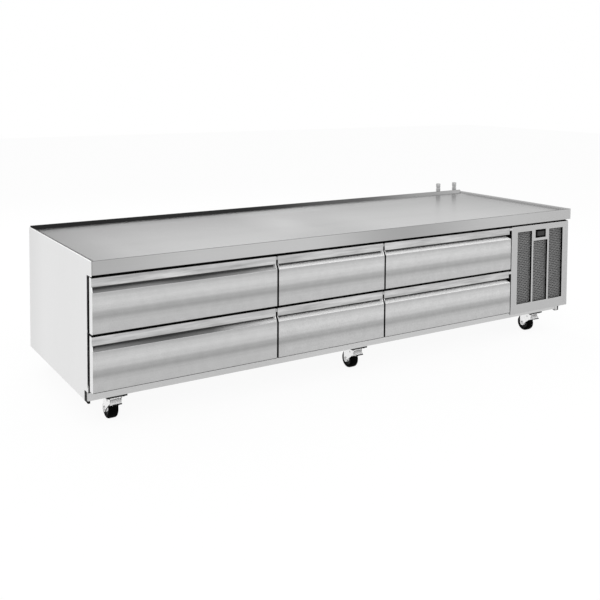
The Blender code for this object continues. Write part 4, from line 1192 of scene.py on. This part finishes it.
def buildPedal():      # about its pin
    size = caster
    eye, shoeThickness = size["pedalEye"], size["shoeThickness"]
    half, thick = size["pedalWidth"] / 2, size["pedalThickness"] / 2
    tip = (-size["pedalReach"], -size["pedalFall"])
    shoe = -eye - shoeThickness
    shoeLevel = shoe * size["pedalFall"] / size["pedalReach"]
    shoeFoot = shoeLevel - size["shoeDrop"]
    outline = arc((0, 0), eye, -60, 100, 10)
    topEnd = (tip[0] + size["toe"], tip[1] + thick + 0.0005)
    outline += curveThrough((-0.003, eye - 0.0003), *size["pedalTop"], topEnd, 10)
    outline += arc((tip[0] + thick, tip[1]), thick, 100, 260, 6)
    outline += [(shoe, shoeLevel - thick), (shoe, shoeFoot + 0.001), (shoe + 0.001, shoeFoot),
                (shoe + shoeThickness, shoeFoot), (shoe + shoeThickness, shoeLevel - thick)]
    bm = bmesh.new()
    addPrism(bm, outline, "X", (-half, half))
    bevelSharp(bm, 0.0006, 2, 50)
    for face in bm.faces:      # the toe is capped in rubber
        centre = face.calc_center_median()
        face.material_index = int(centre.y < tip[0] + size["toe"] and centre.z < tip[1] + thick + 0.0004)
    return bm


def swivelOf(place):      # the middle of this caster's wheel, and where its swivel axis meets the floor
    low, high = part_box("caster_wheel_" + place)
    centre = (low + high) / 2
    return centre, (centre.x, centre.y - caster["trail"], 0)


def buildCasters():
    forks = {"front": buildCasterFork(True), "rear": buildCasterFork(False)}
    wheel = buildCasterWheel()
    pedal = buildPedal()
    for row, forkShape in forks.items():
        for column in columns:
            place = f"{row}_{column}"
            centre, swivel = swivelOf(place)
            fork = makePiece("casterFork_" + place, forkShape.copy(), ["casterZinc", "boltZinc"], swivel)
            fit(fork, "caster_" + place, "caster_zinc", "caster_fork_" + place)
            finish = ["tyreRubber", "hubPlastic", "boltZinc"]
            rolling = makePiece("casterWheel_" + place, wheel.copy(), finish, centre)
            fit(rolling, "wheel_" + place, "tyre", "caster_wheel_" + place)
            if row == "front":
                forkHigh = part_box("caster_fork_" + place)[1]
                crownFoot = forkHigh.z - caster["raceHeight"] - caster["forkSheet"]
                pin = (centre.x, swivel[1] - caster["pedalPinForward"], crownFoot - caster["pedalPinDrop"])
                lever = makePiece("brakePedal_" + place, pedal.copy(), ["pedalZinc", "pedalRubber"], pin)
                fit(lever, "pedal_" + column, "pedal_enamel", "brake_pedal_" + place)


plateBolts = {
    "inset": 0.0105, "across": 0.010, "height": 0.0030, "washer": 0.001, "plateSide": 0.076,
    "shadeFrame": 0.0028, "shadeFrameWall": 0.0085, "shadeFrameProud": 0.0007, "seat": 0.0001,
}


def buildPlateBolts():      # a black frame under each caster plate, painted shade between the plate and the crown, and four bolts through it
    size = plateBolts
    plate = size["plateSide"] / 2
    half = plate + size["shadeFrameProud"]
    inner = half - size["shadeFrameWall"]
    reach = plate - size["inset"]
    bm = bmesh.new()
    for row in ("front", "rear"):
        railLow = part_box("base_rail_" + row)[0]
        foot, head = railLow.z - size["shadeFrame"], railLow.z - size["seat"]
        for column in columns:
            x, y = swivelOf(f"{row}_{column}")[1][:2]
            whole = (x - half, x + half)
            for side in (-1, 1):
                addBox(bm, whole, sorted((y + side * inner, y + side * half)), (foot, head))
                skirt = sorted((y + side * (plate + size["seat"]), y + side * half))
                addBox(bm, whole, skirt, (head, head + size["shadeFrame"]))
                addBox(bm, sorted((x + side * inner, x + side * half)), (y - inner, y + inner), (foot, head))
            for sideX in (-1, 1):
                for sideY in (-1, 1):
                    place = (x + sideX * reach, y + sideY * reach, foot)
                    addHexBolt(bm, place, "Z", -1, size["across"], size["height"], size["washer"])
    fit(makePiece("plateBolts", bm, ["boltBlackAndShade"]), "cabinet", "caster_zinc")


buildCasters()
buildPlateBolts()
print("casters")


# What is inside: the cold box, the tracks and the machines

def dressInside():
    dress("linerSheet", "cabinet_floor", "cabinet_ceiling", "cabinet_left_wall", "cabinet_bulkhead",
          "cabinet_back_wall", edge=0.001)
    dress("blackPlastic", "face_frame", edge=0.0008)
    dress("sealRubber", "drawer_gaskets", edge=0.0008)
    dress("drawerSteel", "partition_left", "partition_right", "upright_left", "upright_right", edge=0.0003)
    dress("galvanisedSheet", "machine_tray", "condenser_fan_shroud", "evaporator_housing", "electrical_box",
          "condensate_pan", edge=0.0006)
    dress("coilFins", "condenser_coil", "evaporator_coil")
    dress("fanPlastic", "condenser_fan", "evaporator_fan", edge=0.0006)
    dress("machineEnamel", "compressor", edge=0.001)
    dress("copper", "suction_line")


dressInside()
print("inside")
